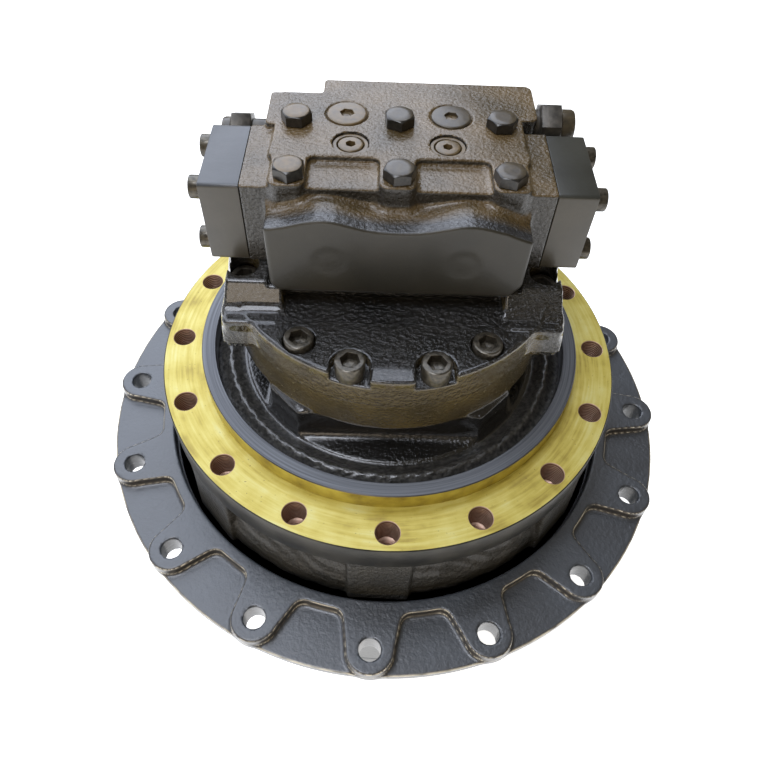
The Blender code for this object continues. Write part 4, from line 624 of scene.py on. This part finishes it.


# Dark blue-grey enamel on sand-cast iron: satin orange peel 4 mm across. The walls of the step are browner in
# patches, and along their edges handling wore thin beige lines.
flange_paint, tree, where = start_finish("enamel_on_cast_flange", Coat_Weight=0.9, Coat_Roughness=0.3)
tone = blotches(tree, where, 60.0, 4.0)
broken = blotches(tree, where, 16.0, 3.0)
worn = add(tree, "Attribute", attribute_name="worn").outputs["Fac"]
colour = shade(tree, tone, (0.3, "34373b"), (0.7, "42474d"))
for start, full, least, most, code in ((0.1, 0.4, 0.0, 1.1, "41372b"), (0.45, 0.8, -1.0, 2.6, "e2d8bf")):
    rubbing = add(tree, "MapRange", {"Value": worn, "From Min": start, "From Max": full}).outputs[0]
    bare = add(tree, "Math", {0: rubbing, 1: between(tree, broken, least, most)}, operation="MULTIPLY",
               use_clamp=True).outputs[0]
    colour = mixed(tree, bare, colour, code)
surface(tree, colour, between(tree, tone, 0.34, 0.48), relief(tree, blotches(tree, where, 3.6, 2.5), 0.8))

low, high = (206.0, 0.0, -136.0), (292.0, 2 * math.pi, -86.0)
steps = (int(86 / fine(1.6)), LOBES * 58, int(50 / fine(1.55)))
points, quads = cast_skin(flange_solid, low, high, steps, round_axis=True)
land, from_hole, rho = lobe_plan(points[:, 0], points[:, 1])
height = points[:, 2]


def near(height, level, reach, most=1.0):
    """How near a height is to a level, from 0 to 1: clip(most - |height - level| / reach)."""
    return np.clip(most - np.abs(height - level) / reach, 0.0, 1.0)


# How far each point is worn: on the step's wall, more along its upper and lower edge, and on the rim's edges.
wall = np.clip(1.3 - np.abs(land) / 1.1, 0.0, 1.0)
lip = near(height, LOBE_TOP - 0.7, 0.9) + near(height, DISC_TOP + 1.3, 1.0)
worn_by_point = wall * (0.45 + 0.55 * lip) * (height > DISC_TOP + 0.3)
for level in (DISC_TOP - 0.8, RIM_END):
    on_rim = (rho > RIM - 1.6) * (rho < RIM + 0.6)
    worn_by_point = np.maximum(worn_by_point, 0.8 * on_rim * near(height, level, 1.2, 1.3))

above = points[quads, 2].mean(1) > -106.5
for name, half in (("sprocket_flange_face", above), ("sprocket_flange_back", ~above)):
    used, numbers = np.unique(quads[half], return_inverse=True)
    nodes = ["hub_housing"] if name.endswith("face") else []
    make_piece(name, [(points[used], numbers.reshape(-1, 4), 0)], [flange_paint], "hub", nodes,
               weld=False, crease=60.0, marks=worn_by_point[used])

# The hub's turned body with the bearing and seal pockets, down to its joint with the ring gear.
hub_section = np.array([(224.4, -106.5), (224.4, -105.7), (195.5, -105.7), (195.5, -122.5), (160.0, -122.5),
                        (160.0, -130.0), (170.3, -130.0), (170.3, -235.7), (204.2, -235.7), (205.0, -234.9),
                        (205.0, -223.0), (207.0, -216.5), (213.5, -208.0), (HUB_RADIUS, -203.0),
                        (HUB_RADIUS, -130.0), (212.0, -120.0)])
make_piece("hub_body", [(*turned(hub_section[:, 0], hub_section[:, 1], 256), 0)], [flange_paint], "hub",
           crease=25.0)


# Ring gear.
# A hardened steel ring with sixty inner teeth, clamped between hub and end cover. It is ground inside and on
# its ends, and painted with the hub outside.

GEAR_MODULE = 5.5
RING_TEETH = 60
RING_STEPS = RING_TEETH * 12
RING_RADIUS = 205.0


def ring_teeth(columns):
    """Inner outline of the ring gear, r(a) = tip + (root - tip) * clip((0.66 - p) / 0.32), where p runs from
    0 in the middle of each space to 1 in the middle of each tooth: straight flanks near the involute ones."""
    pitch = GEAR_MODULE * RING_TEETH / 2
    tip, root = pitch - GEAR_MODULE, pitch + 1.25 * GEAR_MODULE
    angle = np.arange(columns) * 2 * np.pi / columns
    phase = np.abs((angle * RING_TEETH / (2 * np.pi) + 0.5) % 1.0 - 0.5) * 2.0
    rise = np.clip((0.66 - phase) / 0.32, 0.0, 1.0)
    return tip + (root - tip) * rise


teeth = ring_teeth(RING_STEPS)
outer = np.full(RING_STEPS, RING_RADIUS)
rows = [teeth, teeth, teeth + 0.8, outer - 0.8, outer, outer, outer - 0.8, teeth + 0.8]
levels = [-345.0, -237.0, -236.2, -236.2, -237.0, -345.0, -345.7, -345.7]

# Ground gear steel: bright, with a trace of oil.
gear_steel, tree, where = start_finish("ground_gear_steel", Metallic=1.0)
streaks = blotches(tree, where, 12.0, 5.0)
surface(tree, shade(tree, streaks, (0.3, "77787a"), (0.7, "898a8c")), between(tree, streaks, 0.22, 0.40),
        relief(tree, blotches(tree, where, 0.8, 2.0), 0.03))

points, faces = turned(np.stack(rows), np.array(levels), RING_STEPS)
row = np.arange(len(faces)) // RING_STEPS
make_piece("ring_gear_toothed", [(points, faces, np.where((row > 2) & (row < 6), 1, 0))],
           [gear_steel, flange_paint], "hub", ["ring_gear"], crease=30.0)


# End cover with its screws.
# A cast iron lid with twelve M14 hexagon screws, painted with the hub. The drive stands on its boss.

COVER_SCREWS_CIRCLE = 190.0
COVER_BOTTOM = -364.0
BOSS_BOTTOM = -374.0
SCREW_STEPS = 48             # steps round a screw or plug


def spun(points, degrees):
    """Points turned round the vertical."""
    a = math.radians(degrees)
    turn = np.array([[math.cos(a), -math.sin(a), 0.0], [math.sin(a), math.cos(a), 0.0], [0.0, 0.0, 1.0]])
    return points @ turn.T


def hexagon_reach(flats, columns):
    """Distance from the middle to a hexagon's edge in each direction: half the flats over the cosine."""
    angle = np.arange(columns) * 2 * np.pi / columns
    return flats / 2 / np.cos((angle + math.pi / 6) % (math.pi / 3) - math.pi / 6)


def hex_head(flats, height, turn=0.0, columns=SCREW_STEPS):
    """A hexagon head on zero: rows from its middle over the 30 degree chamfer and down the flats to the
    washer face."""
    reach = hexagon_reach(flats, columns)
    ring = np.ones(columns)
    round_part = flats / 2 * ring
    droop = np.maximum(reach - 0.93 * flats / 2, 0.0) * 0.55
    side = height - droop
    radii = [0.0 * ring, 0.5 * round_part, 0.90 * round_part, 0.94 * round_part, reach - 0.25, reach, reach,
             0.95 * round_part, 0.0 * ring]
    heights = [height * ring, height * ring, height * ring, height - 0.25 * ring, side, side - 0.35,
               0.5 * ring, 0.0 * ring, 0.0 * ring]
    points, faces = turned(np.stack(radii), np.stack(heights), columns, closed=False)
    return spun(points, turn), faces


def mottled(name, patch, dark, light, gloss, depth=None, **sockets):
    """A finish whose colour and gloss, and very shallow bump where it has one, follow one cloudy noise."""
    finish, tree, where = start_finish(name, **sockets)
    mottle = blotches(tree, where, patch, 4.0)
    bump = None if depth is None else relief(tree, mottle, depth)
    surface(tree, shade(tree, mottle, (0.3, dark), (0.7, light)), between(tree, mottle, *gloss), bump)
    return finish


# Black oxide on alloy steel screws: brown-black with a steel gloss.
oxide = mottled("black_oxide_screw", 3.0, "1e1d1c", "393631", (0.24, 0.42), 0.12, Metallic=0.5,
                Coat_Weight=0.4, Coat_Roughness=0.15)

cover_section = soften([(0.0, -354.0), (142.0, -354.0), (150.0, -346.0), (RING_RADIUS, -346.0),
                        (RING_RADIUS, COVER_BOTTOM), (136.0, COVER_BOTTOM), (125.0, BOSS_BOTTOM),
                        (0.0, BOSS_BOTTOM)], [0.0, 3.0, 1.0, 1.5, 2.0, 6.0, 2.0, 0.0])
sheets = [(*turned(cover_section[:, 0], cover_section[:, 1], 256), 0)]
for k in range(12):
    points, faces = hex_head(21.0, 8.0, 10.0 * k)
    a = math.radians(30.0 * (k + 0.5) - 90.0)
    place = (COVER_SCREWS_CIRCLE * math.cos(a), COVER_SCREWS_CIRCLE * math.sin(a), COVER_BOTTOM)
    sheets.append((points * (1.0, 1.0, -1.0) + place, faces, 1))
make_piece("end_cover_with_screws", sheets, [flange_paint, oxide], "hub", ["end_cover"])


# Oil plugs.
# Three steel plugs with hexagon sockets in the cover's boss, to drain, check and fill the gear oil.

PLUG_CIRCLE = 85.0


def socket_screw(head_radius, top, seat, socket, depth, turn=0.0, columns=SCREW_STEPS):
    """A socket head: up from the socket's floor to its hexagonal mouth, over the face and the rounded rim."""
    hexed = hexagon_reach(2 * socket, columns)
    ring = np.ones(columns)
    radii = [0.0 * ring, hexed * 0.5, hexed, hexed, hexed + 0.25, hexed + 0.6, (head_radius - 1.7) * ring,
             (head_radius - 0.9) * ring, (head_radius - 0.25) * ring, head_radius * ring, head_radius * ring,
             0.0 * ring]
    heights = [top - depth - 1.5, top - depth, top - depth, top - 0.25, top, top, top, top - 0.15, top - 0.6,
               top - 1.3, seat, seat]
    points, faces = turned(np.stack(radii), np.array(heights), columns, closed=False)
    return spun(points, turn), faces


for name, angle in (("drain_plug", -90.0), ("level_plug", 0.0), ("fill_plug", 180.0)):
    points, faces = socket_screw(11.0, -2.0, -14.0, 5.0, 6.0)
    a = math.radians(angle)
    place = (PLUG_CIRCLE * math.cos(a), PLUG_CIRCLE * math.sin(a), BOSS_BOTTOM)
    points = points * (1.0, 1.0, -1.0) + place
    make_piece(name + "_turned", [(points, faces, 0)], [gear_steel], "hub", [name])


# Rear cover of the motor.
# A sand-cast lid over the motor, bolted to the casing with eight socket head screws in recesses. A platform
# with two ears rises from it to carry the brake valve, and the two front recesses run out through its rim.

COVER_TOP = 98.0
VALVE_SEAT = 115.0
JOINT = 0.3                  # the gap left between two pieces that sit on each other
EAR_END = 139.6
COVER_SCREWS = [(17.3, 112.5, 9.0), (42.0, 112.0, 12.0), (81.5, 126.5, 9.0), (137.0, 126.0, 9.0)]
screw_places = []
for angle, distance, sunk in COVER_SCREWS:
    for side in (-1, 1):
        a = math.radians(side * angle)
        screw_places.append((distance * math.sin(a), -distance * math.cos(a), COVER_TOP - sunk))


def cover_solid(x, y, z):
    """Plate, platform and ears melted together, less the recess round each screw. An ear is a column beside
    the plate, a ledge level with it and a face that leans back from the ledge."""
    plate = slab(casing_plan(x, y), z, PARTING - 6.0, COVER_TOP, 2.2)
    middle = slab(rectangle(x, y, -100.0, 100.0, -28.0, 90.0, 6.0), z, 80.0, VALVE_SEAT - JOINT, 2.0)
    wide = np.abs(x)
    outer = EAR_END - 0.12 * np.maximum(z - COVER_TOP, 0.0)
    column = slab(rectangle(wide, y, 92.0, EAR_END, -66.0, 50.0, 5.0), z, PARTING + JOINT, COVER_TOP, 2.5)
    lean = -0.825 * (y + 52.0) + 0.565 * (z - COVER_TOP)
    low_ear = both(rectangle(wide, y, 91.0, 130.0, -70.0, 50.0, 2.0), z - VALVE_SEAT + JOINT, 1.5)
    high_ear = np.maximum(rectangle(wide, y, 103.0, 150.0, -70.0, 50.0, 2.0), wide - outer)
    high_ear = both(high_ear, z - VALVE_SEAT - 3.0, 1.5)
    ear = both(both(join(low_ear, high_ear, 2.0), lean, 2.0), 75.0 - z, 1.0)
    whole = join(join(plate, column, 3.0), middle, 7.0)
    whole = both(join(whole, ear, 6.0), PARTING + 0.15 - z, 0.2)
    for px, py, seat in screw_places:
        if abs(px) < 40.0:
            hole = rectangle(x, y, px - 16.0, px + 16.0, -200.0, py + 16.0, 15.9)
        else:
            hole = np.hypot(x - px, y - py) - 13.2
        whole = without(whole, np.maximum(hole, seat - z), 1.6)
    return whole


# The casing's paint on a coarser casting: deeper bumps under a sharper gloss, so the top sparkles. Its upright
# sides carry the same golden-brown painted reflection, with painted shade low down and on the ears' outer
# sides.
cover_paint = rough_paint("glossy_paint_on_cover", 3.8, 3.6, ("171716", "282725"), ("433a23", "5d502f"),
                          (0.16, 0.30), 1.0, painted_shade_below, 0.09)

low, high = (-150.0, -130.0, 63.0), (150.0, 130.0, 121.0)
points, quads = cast_skin(cover_solid, low, high, grid(low, high, 1.5))
make_piece("rear_cover_cast", [(points, quads, 0)], [cover_paint], "stator", ["rear_cover"],
           weld=False, crease=60.0)


# Rear cover screws.
# M16 socket head cap screws in black oxide. Their 24 mm heads stand in the recesses, the front ones proud.

SCREW_HEAD = 12.0

# Black oxide where keys and hands rubbed it: browner and lighter.
rubbed = mottled("rubbed_oxide_screw", 3.0, "37342e", "5f594d", (0.24, 0.42), 0.12, Metallic=0.6,
                 Coat_Weight=0.3)

for number, (px, py, seat) in enumerate(screw_places, 1):
    points, faces = socket_screw(SCREW_HEAD, seat + 16.0 + JOINT, seat + JOINT, 7.0, 8.0, 17.0 * number)
    make_piece(f"cover_screw_{number}", [(points + (px, py, 0.0), faces, 0)], [rubbed], "stator",
               [f"rear_cover_bolt_{number}"])


# Brake valve body.
# An iron casting on the rear cover: a flat top, two open pockets between three screw lugs in front, and under
# them the block whose machined face takes the two travel hoses. The spool's bore runs through its two arms.

VALVE_TOP = 200.0
PORT_FACE = -47.0
PORT_X, PORT_Z = 51.5, 149.0
SPOOL_Y, SPOOL_Z = 22.5, 157.5
SPOOL_BORE = 15.8
MAKEUP_X, MAKEUP_Y = 42.3, 73.0
CHECK_X, CHECK_Y = 38.0, 33.4
ARM_END = 119.2
ARM_FRONT, ARM_BACK = -17.0, 62.0
ARM_BOTTOM, ARM_TOP = 121.0, 194.0


def valve_solid(x, y, z):
    """Top block with lugs, shoulder with its two humps, and arms, less the plugs' recesses and the bore."""
    top = rectangle(x, y, -99.5, 100.0, 15.0, 124.0, 4.0)
    top = np.minimum(top, rectangle(x, y, -107.0, 0.0, 56.0, 103.0, 4.0))
    top = np.minimum(top, rectangle(x, y, 0.0, 113.5, 71.0, 124.0, 7.0))
    top = without(top, rectangle(x, y, -140.0, -63.5, 103.0, 160.0, 4.0), 3.0)
    for left, right in ((-97.0, -70.0), (-15.0, 12.5), (70.0, 98.0)):
        top = join(top, rectangle(x, y, left, right, -22.0, 30.0, 7.0), 7.0)
    upper = slab(top, z, VALVE_SEAT, VALVE_TOP, 1.6)
    hump = 178.0 + 9.5 * np.exp(-((x + 56.0) / 27.0) ** 2) + 8.5 * np.exp(-((x - 53.0) / 27.0) ** 2)
    hump = hump - 5.0 * np.clip((x - 80.0) / 20.0, 0.0, 1.0)
    back = np.clip((y + 24.0) / 18.0, 0.0, 1.0)
    crest = hump + back * back * (3 - 2 * back) * (184.5 - hump)
    shoulder = rectangle(x, y, -99.5, 101.0, PORT_FACE, 40.0, 3.0)
    left_port, right_port = np.hypot(x + PORT_X, z - PORT_Z), np.hypot(x - PORT_X, z - PORT_Z)
    dent = 0.75 * (np.exp(-(left_port / 13.5) ** 6) + np.exp(-(right_port / 13.5) ** 6))
    shoulder = both(shoulder, PORT_FACE + dent - y, 0.8)
    shoulder = both(shoulder, 0.96 * (z - crest), 1.6)
    shoulder = both(shoulder, VALVE_SEAT + 1.5 - z, 1.5)
    shoulder = both(shoulder, (x - 92.0) * 0.8 - (z - 116.5) * 0.6, 1.5)
    shoulder = both(shoulder, (-x - 92.0) * 0.7 - (z - 116.5) * 0.7, 1.5)
    arms = slab(rectangle(x, y, -ARM_END, ARM_END, ARM_FRONT, ARM_BACK, 0.8), z, ARM_BOTTOM, ARM_TOP, 0.8)
    whole = join(join(upper, shoulder, 9.0), arms, 4.0)
    for side in (-1, 1):
        check = np.hypot(x - side * CHECK_X, y - CHECK_Y) - 14.5
        whole = without(whole, np.maximum(check, 192.0 - z), 0.6)
        makeup = np.hypot(x - side * MAKEUP_X, y - MAKEUP_Y) - 17.4
        whole = without(whole, np.maximum(makeup, 198.2 - z), 1.0)
    return without(whole, np.hypot(y - SPOOL_Y, z - SPOOL_Z) - SPOOL_BORE, 0.5)


def milled_front(tree, where, colour, rough):
    """Dark gloss paint on the shoulder, its grey lightened as a painted reflection, and a flat olive-black
    finish with little coat on the milled face.
    """
    flat = within(tree, where, "Y", PORT_FACE + 2.0, PORT_FACE + 1.5)
    # The shoulder's lighter grey is a painted reflection.
    gloss = shade(tree, blotches(tree, where, 22.0, 4.0), (0.35, "272727"), (0.7, "4c4d4e"))
    olive = shade(tree, blotches(tree, where, 60.0, 3.0), (0.3, "24221a"), (0.7, "343026"))
    colour = mixed(tree, within(tree, where, "Y", -28.0, -38.0), colour, gloss)
    colour = mixed(tree, flat, colour, olive)
    for amount, value in ((within(tree, where, "Y", -22.0, -32.0), 0.14), (flat, 0.42)):
        rough = add(tree, "Mix", {0: amount, 2: rough, 3: value}, data_type="FLOAT").outputs[0]
    tree.links.new(between(tree, flat, 0.55, 0.12), tree.nodes["Principled BSDF"].inputs["Coat Weight"])
    return colour, rough, between(tree, flat, 1.0, 0.06)


# Gloss paint under tan dust: tan on top and brown-black on the sides, over a finer grain than the cover's.
valve_paint = rough_paint("dusty_paint_on_valve_casting", 3.0, 1.9, ("43371f", "6b583a"),
                          ("1d1b17", "312d26"), (0.18, 0.40), 0.55, milled_front)

low, high = (-122.0, -52.0, 112.0), (122.0, 128.0, 204.0)
points, quads = cast_skin(valve_solid, low, high, grid(low, high, 1.45))
make_piece("valve_casting", [(points, quads, 0)], [valve_paint], "stator",
           ["valve_body"], weld=False, crease=60.0)


# Valve screws.
# Six M14 hexagon screws hold the valve. Their tops were sprayed with the casting and their sides stayed dark.

# Black oxide under tan paint and dust, in two copies that paint the light: a lighter one for the screws on the
# left and a darker one, in painted shade, for those on the right.
sprayed = mottled("tan_overspray_lit_on_screw", 5.0, "4d4029", "6d5b3d", (0.24, 0.42), 0.2, Coat_Weight=0.25,
                  Coat_Roughness=0.2)
shadow = mottled("overspray_in_painted_shade_on_screw", 5.0, "332d23", "4b4231", (0.24, 0.42), 0.2, Coat_Weight=0.25,
                 Coat_Roughness=0.2)

valve_screws = [(px, py) for px in (-82.0, 0.0, 82.0) for py in (-9.0, 60.5)]
# Screws on the left take the lighter copy, the rest the one in painted shade.
for number, ((px, py), turn) in enumerate(zip(valve_screws, (0.0, 24.0, 40.0, 8.0, 16.0, 34.0)), 1):
    points, faces = hex_head(22.0, 9.0, turn)
    kinds = np.where(np.arange(len(faces)) // SCREW_STEPS < 3, 0, 1)
    make_piece(f"valve_screw_{number}", [(points + (px, py, VALVE_TOP + JOINT), faces, kinds)],
               [sprayed if px < -50.0 else shadow, oxide], "stator", [f"valve_bolt_{number}"])


# Valve plugs.
# Two large steel plugs close the make-up valves and two small ones, sunk in turned rings, the check valves.

for side, word in ((-1, "left"), (1, "right")):
    points, faces = socket_screw(16.3, VALVE_TOP + 0.8, VALVE_TOP - 12.0, 5.2, 7.0, 20.0)
    # The left plug takes the lighter copy, the right one the copy in painted shade.
    make_piece(f"makeup_plug_{word}_turned", [(points + (side * MAKEUP_X, MAKEUP_Y, 0.0), faces, 0)],
               [sprayed if side < 0 else shadow], "stator", [f"makeup_plug_{word}"])
    seat = np.array([(10.9, -9.0), (10.9, -2.2), (11.3, -1.8), (13.6, -1.8), (14.0, -2.3), (14.0, -9.0)])
    sheets = [socket_screw(10.0, VALVE_TOP - 1.2, VALVE_TOP - 17.0, 3.5, 6.0, 10.0),
              turned(seat[:, 0], VALVE_TOP + seat[:, 1], SCREW_STEPS)]
    sheets = [(points + (side * CHECK_X, CHECK_Y, 0.0), faces, 0) for points, faces in sheets]
    make_piece(f"check_plug_{word}_turned", sheets, [sprayed], "stator",
               [f"check_plug_{word}"])


# Spool end caps.
# Two steel blocks close the ends of the spool bore, each held by four socket head screws. A round cavity in
# each takes the end of the spool's stroke.

CAP_INNER, CAP_OUTER = 119.4, 150.3
CAVITY_RADIUS = 18.0
CAVITY_FLOOR = 139.4


def facing(points, side):
    """Points of a shape that stands on the vertical, laid along +X or -X."""
    x, y, z = points.T
    return np.column_stack([z, x, y]) if side > 0 else np.column_stack([-z, -x, y])


def hollow_block(outline, rows, centre, radius, floor):
    """An outline carried through rows of (inset, height), each point moving inwards along its own normal. In
    the first row's plane it closes on a circle, P = centre + radius * (V - centre) / |V - centre|, and that
    circle goes up to the floor of a round cavity."""
    along = np.roll(outline, -1, 0) - np.roll(outline, 1, 0)
    inward = np.column_stack([-along[:, 1], along[:, 0]]) / np.linalg.norm(along, axis=1)[:, None]
    away = outline - centre
    circle = centre + radius * away / np.linalg.norm(away, axis=1)[:, None]
    middle, end = np.broadcast_to(centre, outline.shape), np.broadcast_to(outline.mean(0), outline.shape)
    rings = [(middle, floor), (circle, floor), (circle, rows[0][1])]
    rings += [(outline + inset * inward, height) for inset, height in rows] + [(end, rows[-1][1])]
    stack = np.stack([np.column_stack([spots, np.full(len(outline), height)]) for spots, height in rings])
    return stack.reshape(-1, 3), net(len(stack), len(outline))


# Sprayed steel: smooth and satin, with painted light in its colour: the left cap's top is painted blue-grey as
# the sky lights it, the right cap's top darker grey as if in shade, and the fronts olive-brown.
cap_finishes = {side: rough_paint(name, 6.0, 0.10, top, front, (0.30, 0.42), 0.2)
                for side, name, top, front in (
                    (-1, "gloss_paint_on_left_cap_painted_sky_light", ("35373a", "43464a"), ("37342b", "474238")),
                    (1, "gloss_paint_on_right_cap_painted_shade", ("2c2d29", "3a3b36"), ("353127", "443f33")))}
block = [(ARM_FRONT, ARM_BOTTOM), (SPOOL_Y, ARM_BOTTOM), (ARM_BACK, ARM_BOTTOM), (ARM_BACK, SPOOL_Z),
         (ARM_BACK, ARM_TOP), (SPOOL_Y, ARM_TOP), (ARM_FRONT, ARM_TOP), (ARM_FRONT, SPOOL_Z)]
rows = [(0.3, CAP_INNER), (0.0, CAP_INNER + 0.3), (0.0, 149.2), (0.4, 150.0), (1.2, CAP_OUTER)]
for side, word in ((-1, "left"), (1, "right")):
    outline = soften(block, 3.5, 5)
    if side < 0:
        outline = outline[::-1] * (-1.0, 1.0)
    bore_centre = np.array([side * SPOOL_Y, SPOOL_Z])
    points, faces = hollow_block(outline, rows, bore_centre, CAVITY_RADIUS, CAVITY_FLOOR)
    sheets = [(facing(points, side), faces, 0)]
    for py in (-4.0, 49.0):
        for pz in (133.0, 182.0):
            screw, rings = socket_screw(9.0, 159.2, 149.5, 4.4, 5.0, 15.0 + py)
            sheets.append((facing(screw, side) + (0.0, py, pz), rings, 1))
    make_piece(f"spool_cap_{word}_block", sheets, [cap_finishes[side], rubbed], "stator",
               [f"spool_cap_{word}"])


# Relief valve cartridges.
# Zinc-plated cartridges screwed in behind the caps: a collar, a hexagon and a domed adjusting cap.

# Zinc plate dulled by dirt and oil: grey-brown, with little of its metal left to see.
zinc = mottled("dull_zinc_plate", 6.0, "373531", "544f47", (0.24, 0.42), 0.24, Metallic=0.4)

for side, word, seat, height, shoulder, end, tip in ((-1, "left", 107.0, 168.0, 123.3, 141.3, 150.3),
                                                     (1, "right", 113.5, 185.0, 116.8, 134.8, 147.8)):
    reach = hexagon_reach(34.0, SCREW_STEPS)
    profile = [(0.0, seat - 24.0), (13.0, seat - 24.0), (13.0, shoulder - 0.3), (16.0, shoulder),
               (reach - 0.4, shoulder + 0.7), (reach, shoulder + 1.3), (reach, end - 1.1), (16.0, end),
               (14.0, end + 0.1), (14.0, tip - 3.8), (13.0, tip - 1.7), (9.0, tip - 0.3), (0.0, tip)]
    radii = np.stack([np.broadcast_to(radius, SCREW_STEPS) for radius, level in profile])
    points, faces = turned(radii, [level for radius, level in profile], SCREW_STEPS, closed=False)
    kinds = np.where(np.arange(len(faces)) // SCREW_STEPS < 7, 0, 1)
    # The domed ends take the overspray copy in painted shade.
    make_piece(f"relief_cartridge_{word}", [(facing(points, side) + (0.0, 88.0, height), faces, kinds)],
               [zinc, shadow], "stator", [f"relief_valve_{word}"])


# Inner pieces that keep their CAD shapes.
# Shafts, gears, bearings and seals inside the drive get the finish each one has in service.

# Bearing steel ground and lapped: bright. Sintered bronze: warm and duller. Nitrile rubber: black and matt.
steel = mottled("ground_bearing_steel", 10.0, "85878a", "b4b6b8", (0.16, 0.32), Metallic=1.0)
bronze = mottled("sintered_bronze", 8.0, "8a6334", "b98a4c", (0.28, 0.44), Metallic=1.0)
rubber = mottled("nitrile_rubber", 6.0, "141414", "232323", (0.55, 0.75))

inner = {
    steel: [f"bearing_{part}_{end}" for part in ("inner", "outer", "rollers") for end in ("upper", "lower")]
    + ["bearing_nut", "seal_ring_upper", "seal_ring_lower", "counterbalance_spool", "motor_shaft",
       "shaft_bearing"],
    gear_steel: [f"planet_{stage}_{number}" for stage in (1, 2) for number in (1, 2, 3)]
    + ["carrier_1", "carrier_2", "sun_1", "sun_2", "cylinder_block", "brake_piston"],
    bronze: ["thrust_plate", "valve_plate"],
    rubber: ["seal_toric_upper", "seal_toric_lower", "shaft_seal"],
}
for finish, names in inner.items():
    for name in names:
        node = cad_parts[name]
        for place in node.material_slots:
            place.material = finish


# Floor, light and camera.
# A white table, large soft lamps behind, above, at the left and in front, and the camera where the
# photograph's was.

stage = bpy.data.meshes.new("studio_floor")
stage.from_pydata([(x, y, 0.0) for x, y in ((-6.0, -6.0), (6.0, -6.0), (6.0, 6.0), (-6.0, 6.0))], [],
                  [(0, 1, 2, 3)])
floor = bpy.data.objects.new("studio_floor", stage)
bpy.context.scene.collection.objects.link(floor)
white, tree, where = start_finish("studio_white", Roughness=0.9, Base_Color=linear("f4f4f2"),
                                  Emission_Color=(1.0, 1.0, 1.0, 1.0), Emission_Strength=0.9)
stage.materials.append(white)

world = bpy.data.worlds.new("studio")
world.use_nodes = True
bpy.context.scene.world = world
tree = world.node_tree
background = tree.nodes["Background"]
seen = add(tree, "LightPath").outputs["Is Camera Ray"]
bright = add(tree, "Background", {"Color": (1.0, 1.0, 1.0, 1.0), "Strength": 1.0})
background.inputs["Color"].default_value = linear("d2c3a8")
background.inputs["Strength"].default_value = 0.26
sky = add(tree, "MixShader", {0: seen, 1: background.outputs[0], 2: bright.outputs[0]})
tree.links.new(sky.outputs[0], tree.nodes["World Output"].inputs["Surface"])

lit_point = np.array((0.0, 0.0, 0.4))
for name, place, width, power, code in (("back_window", (-0.60, 1.17, 1.90), 2.3, 56.0, "e4edff"),
                                        ("left_window", (-1.9, -0.5, 1.2), 1.3, 7.5, "e4edff"),
                                        ("roof_light", (-0.50, -0.55, 2.4), 0.9, 22.0, "eef3ff"),
                                        ("front_fill", (-0.5, -2.0, 1.2), 0.8, 7.0, "ffedd6")):
    lamp = bpy.data.lights.new(name, "AREA")
    lamp.size = width
    lamp.energy = power
    lamp.color = linear(code)[:3]
    holder = bpy.data.objects.new(name, lamp)
    bpy.context.scene.collection.objects.link(holder)
    away = (np.array(place) - lit_point) / np.linalg.norm(np.array(place) - lit_point)
    across = np.cross((0.0, 0.0, 1.0), away)
    across /= np.linalg.norm(across)
    aim = np.column_stack([across, np.cross(away, across), away])
    holder.matrix_world = Matrix(np.vstack([np.column_stack([aim, place]), (0.0, 0.0, 0.0, 1.0)]).tolist())

# The camera's place and axes, from the fit to the photograph's ellipses.
camera = bpy.data.cameras.new("photo_camera")
camera.sensor_width = 36.0
camera.lens = 32.31
camera.clip_start = 0.01
viewer = bpy.data.objects.new("photo_camera", camera)
bpy.context.scene.collection.objects.link(viewer)
right, down, ahead = (0.99949, 0.01423, 0.02852), (0.02856, -0.79744, -0.60272), (0.01417, 0.60323, -0.79744)
standing = (-0.0174, -0.4331, 0.8857)
viewer.matrix_world = Matrix([*([right[k], -down[k], -ahead[k], standing[k]] for k in range(3)),
                              (0.0, 0.0, 0.0, 1.0)])
bpy.context.scene.camera = viewer
bpy.context.scene.view_settings.view_transform = "Standard"
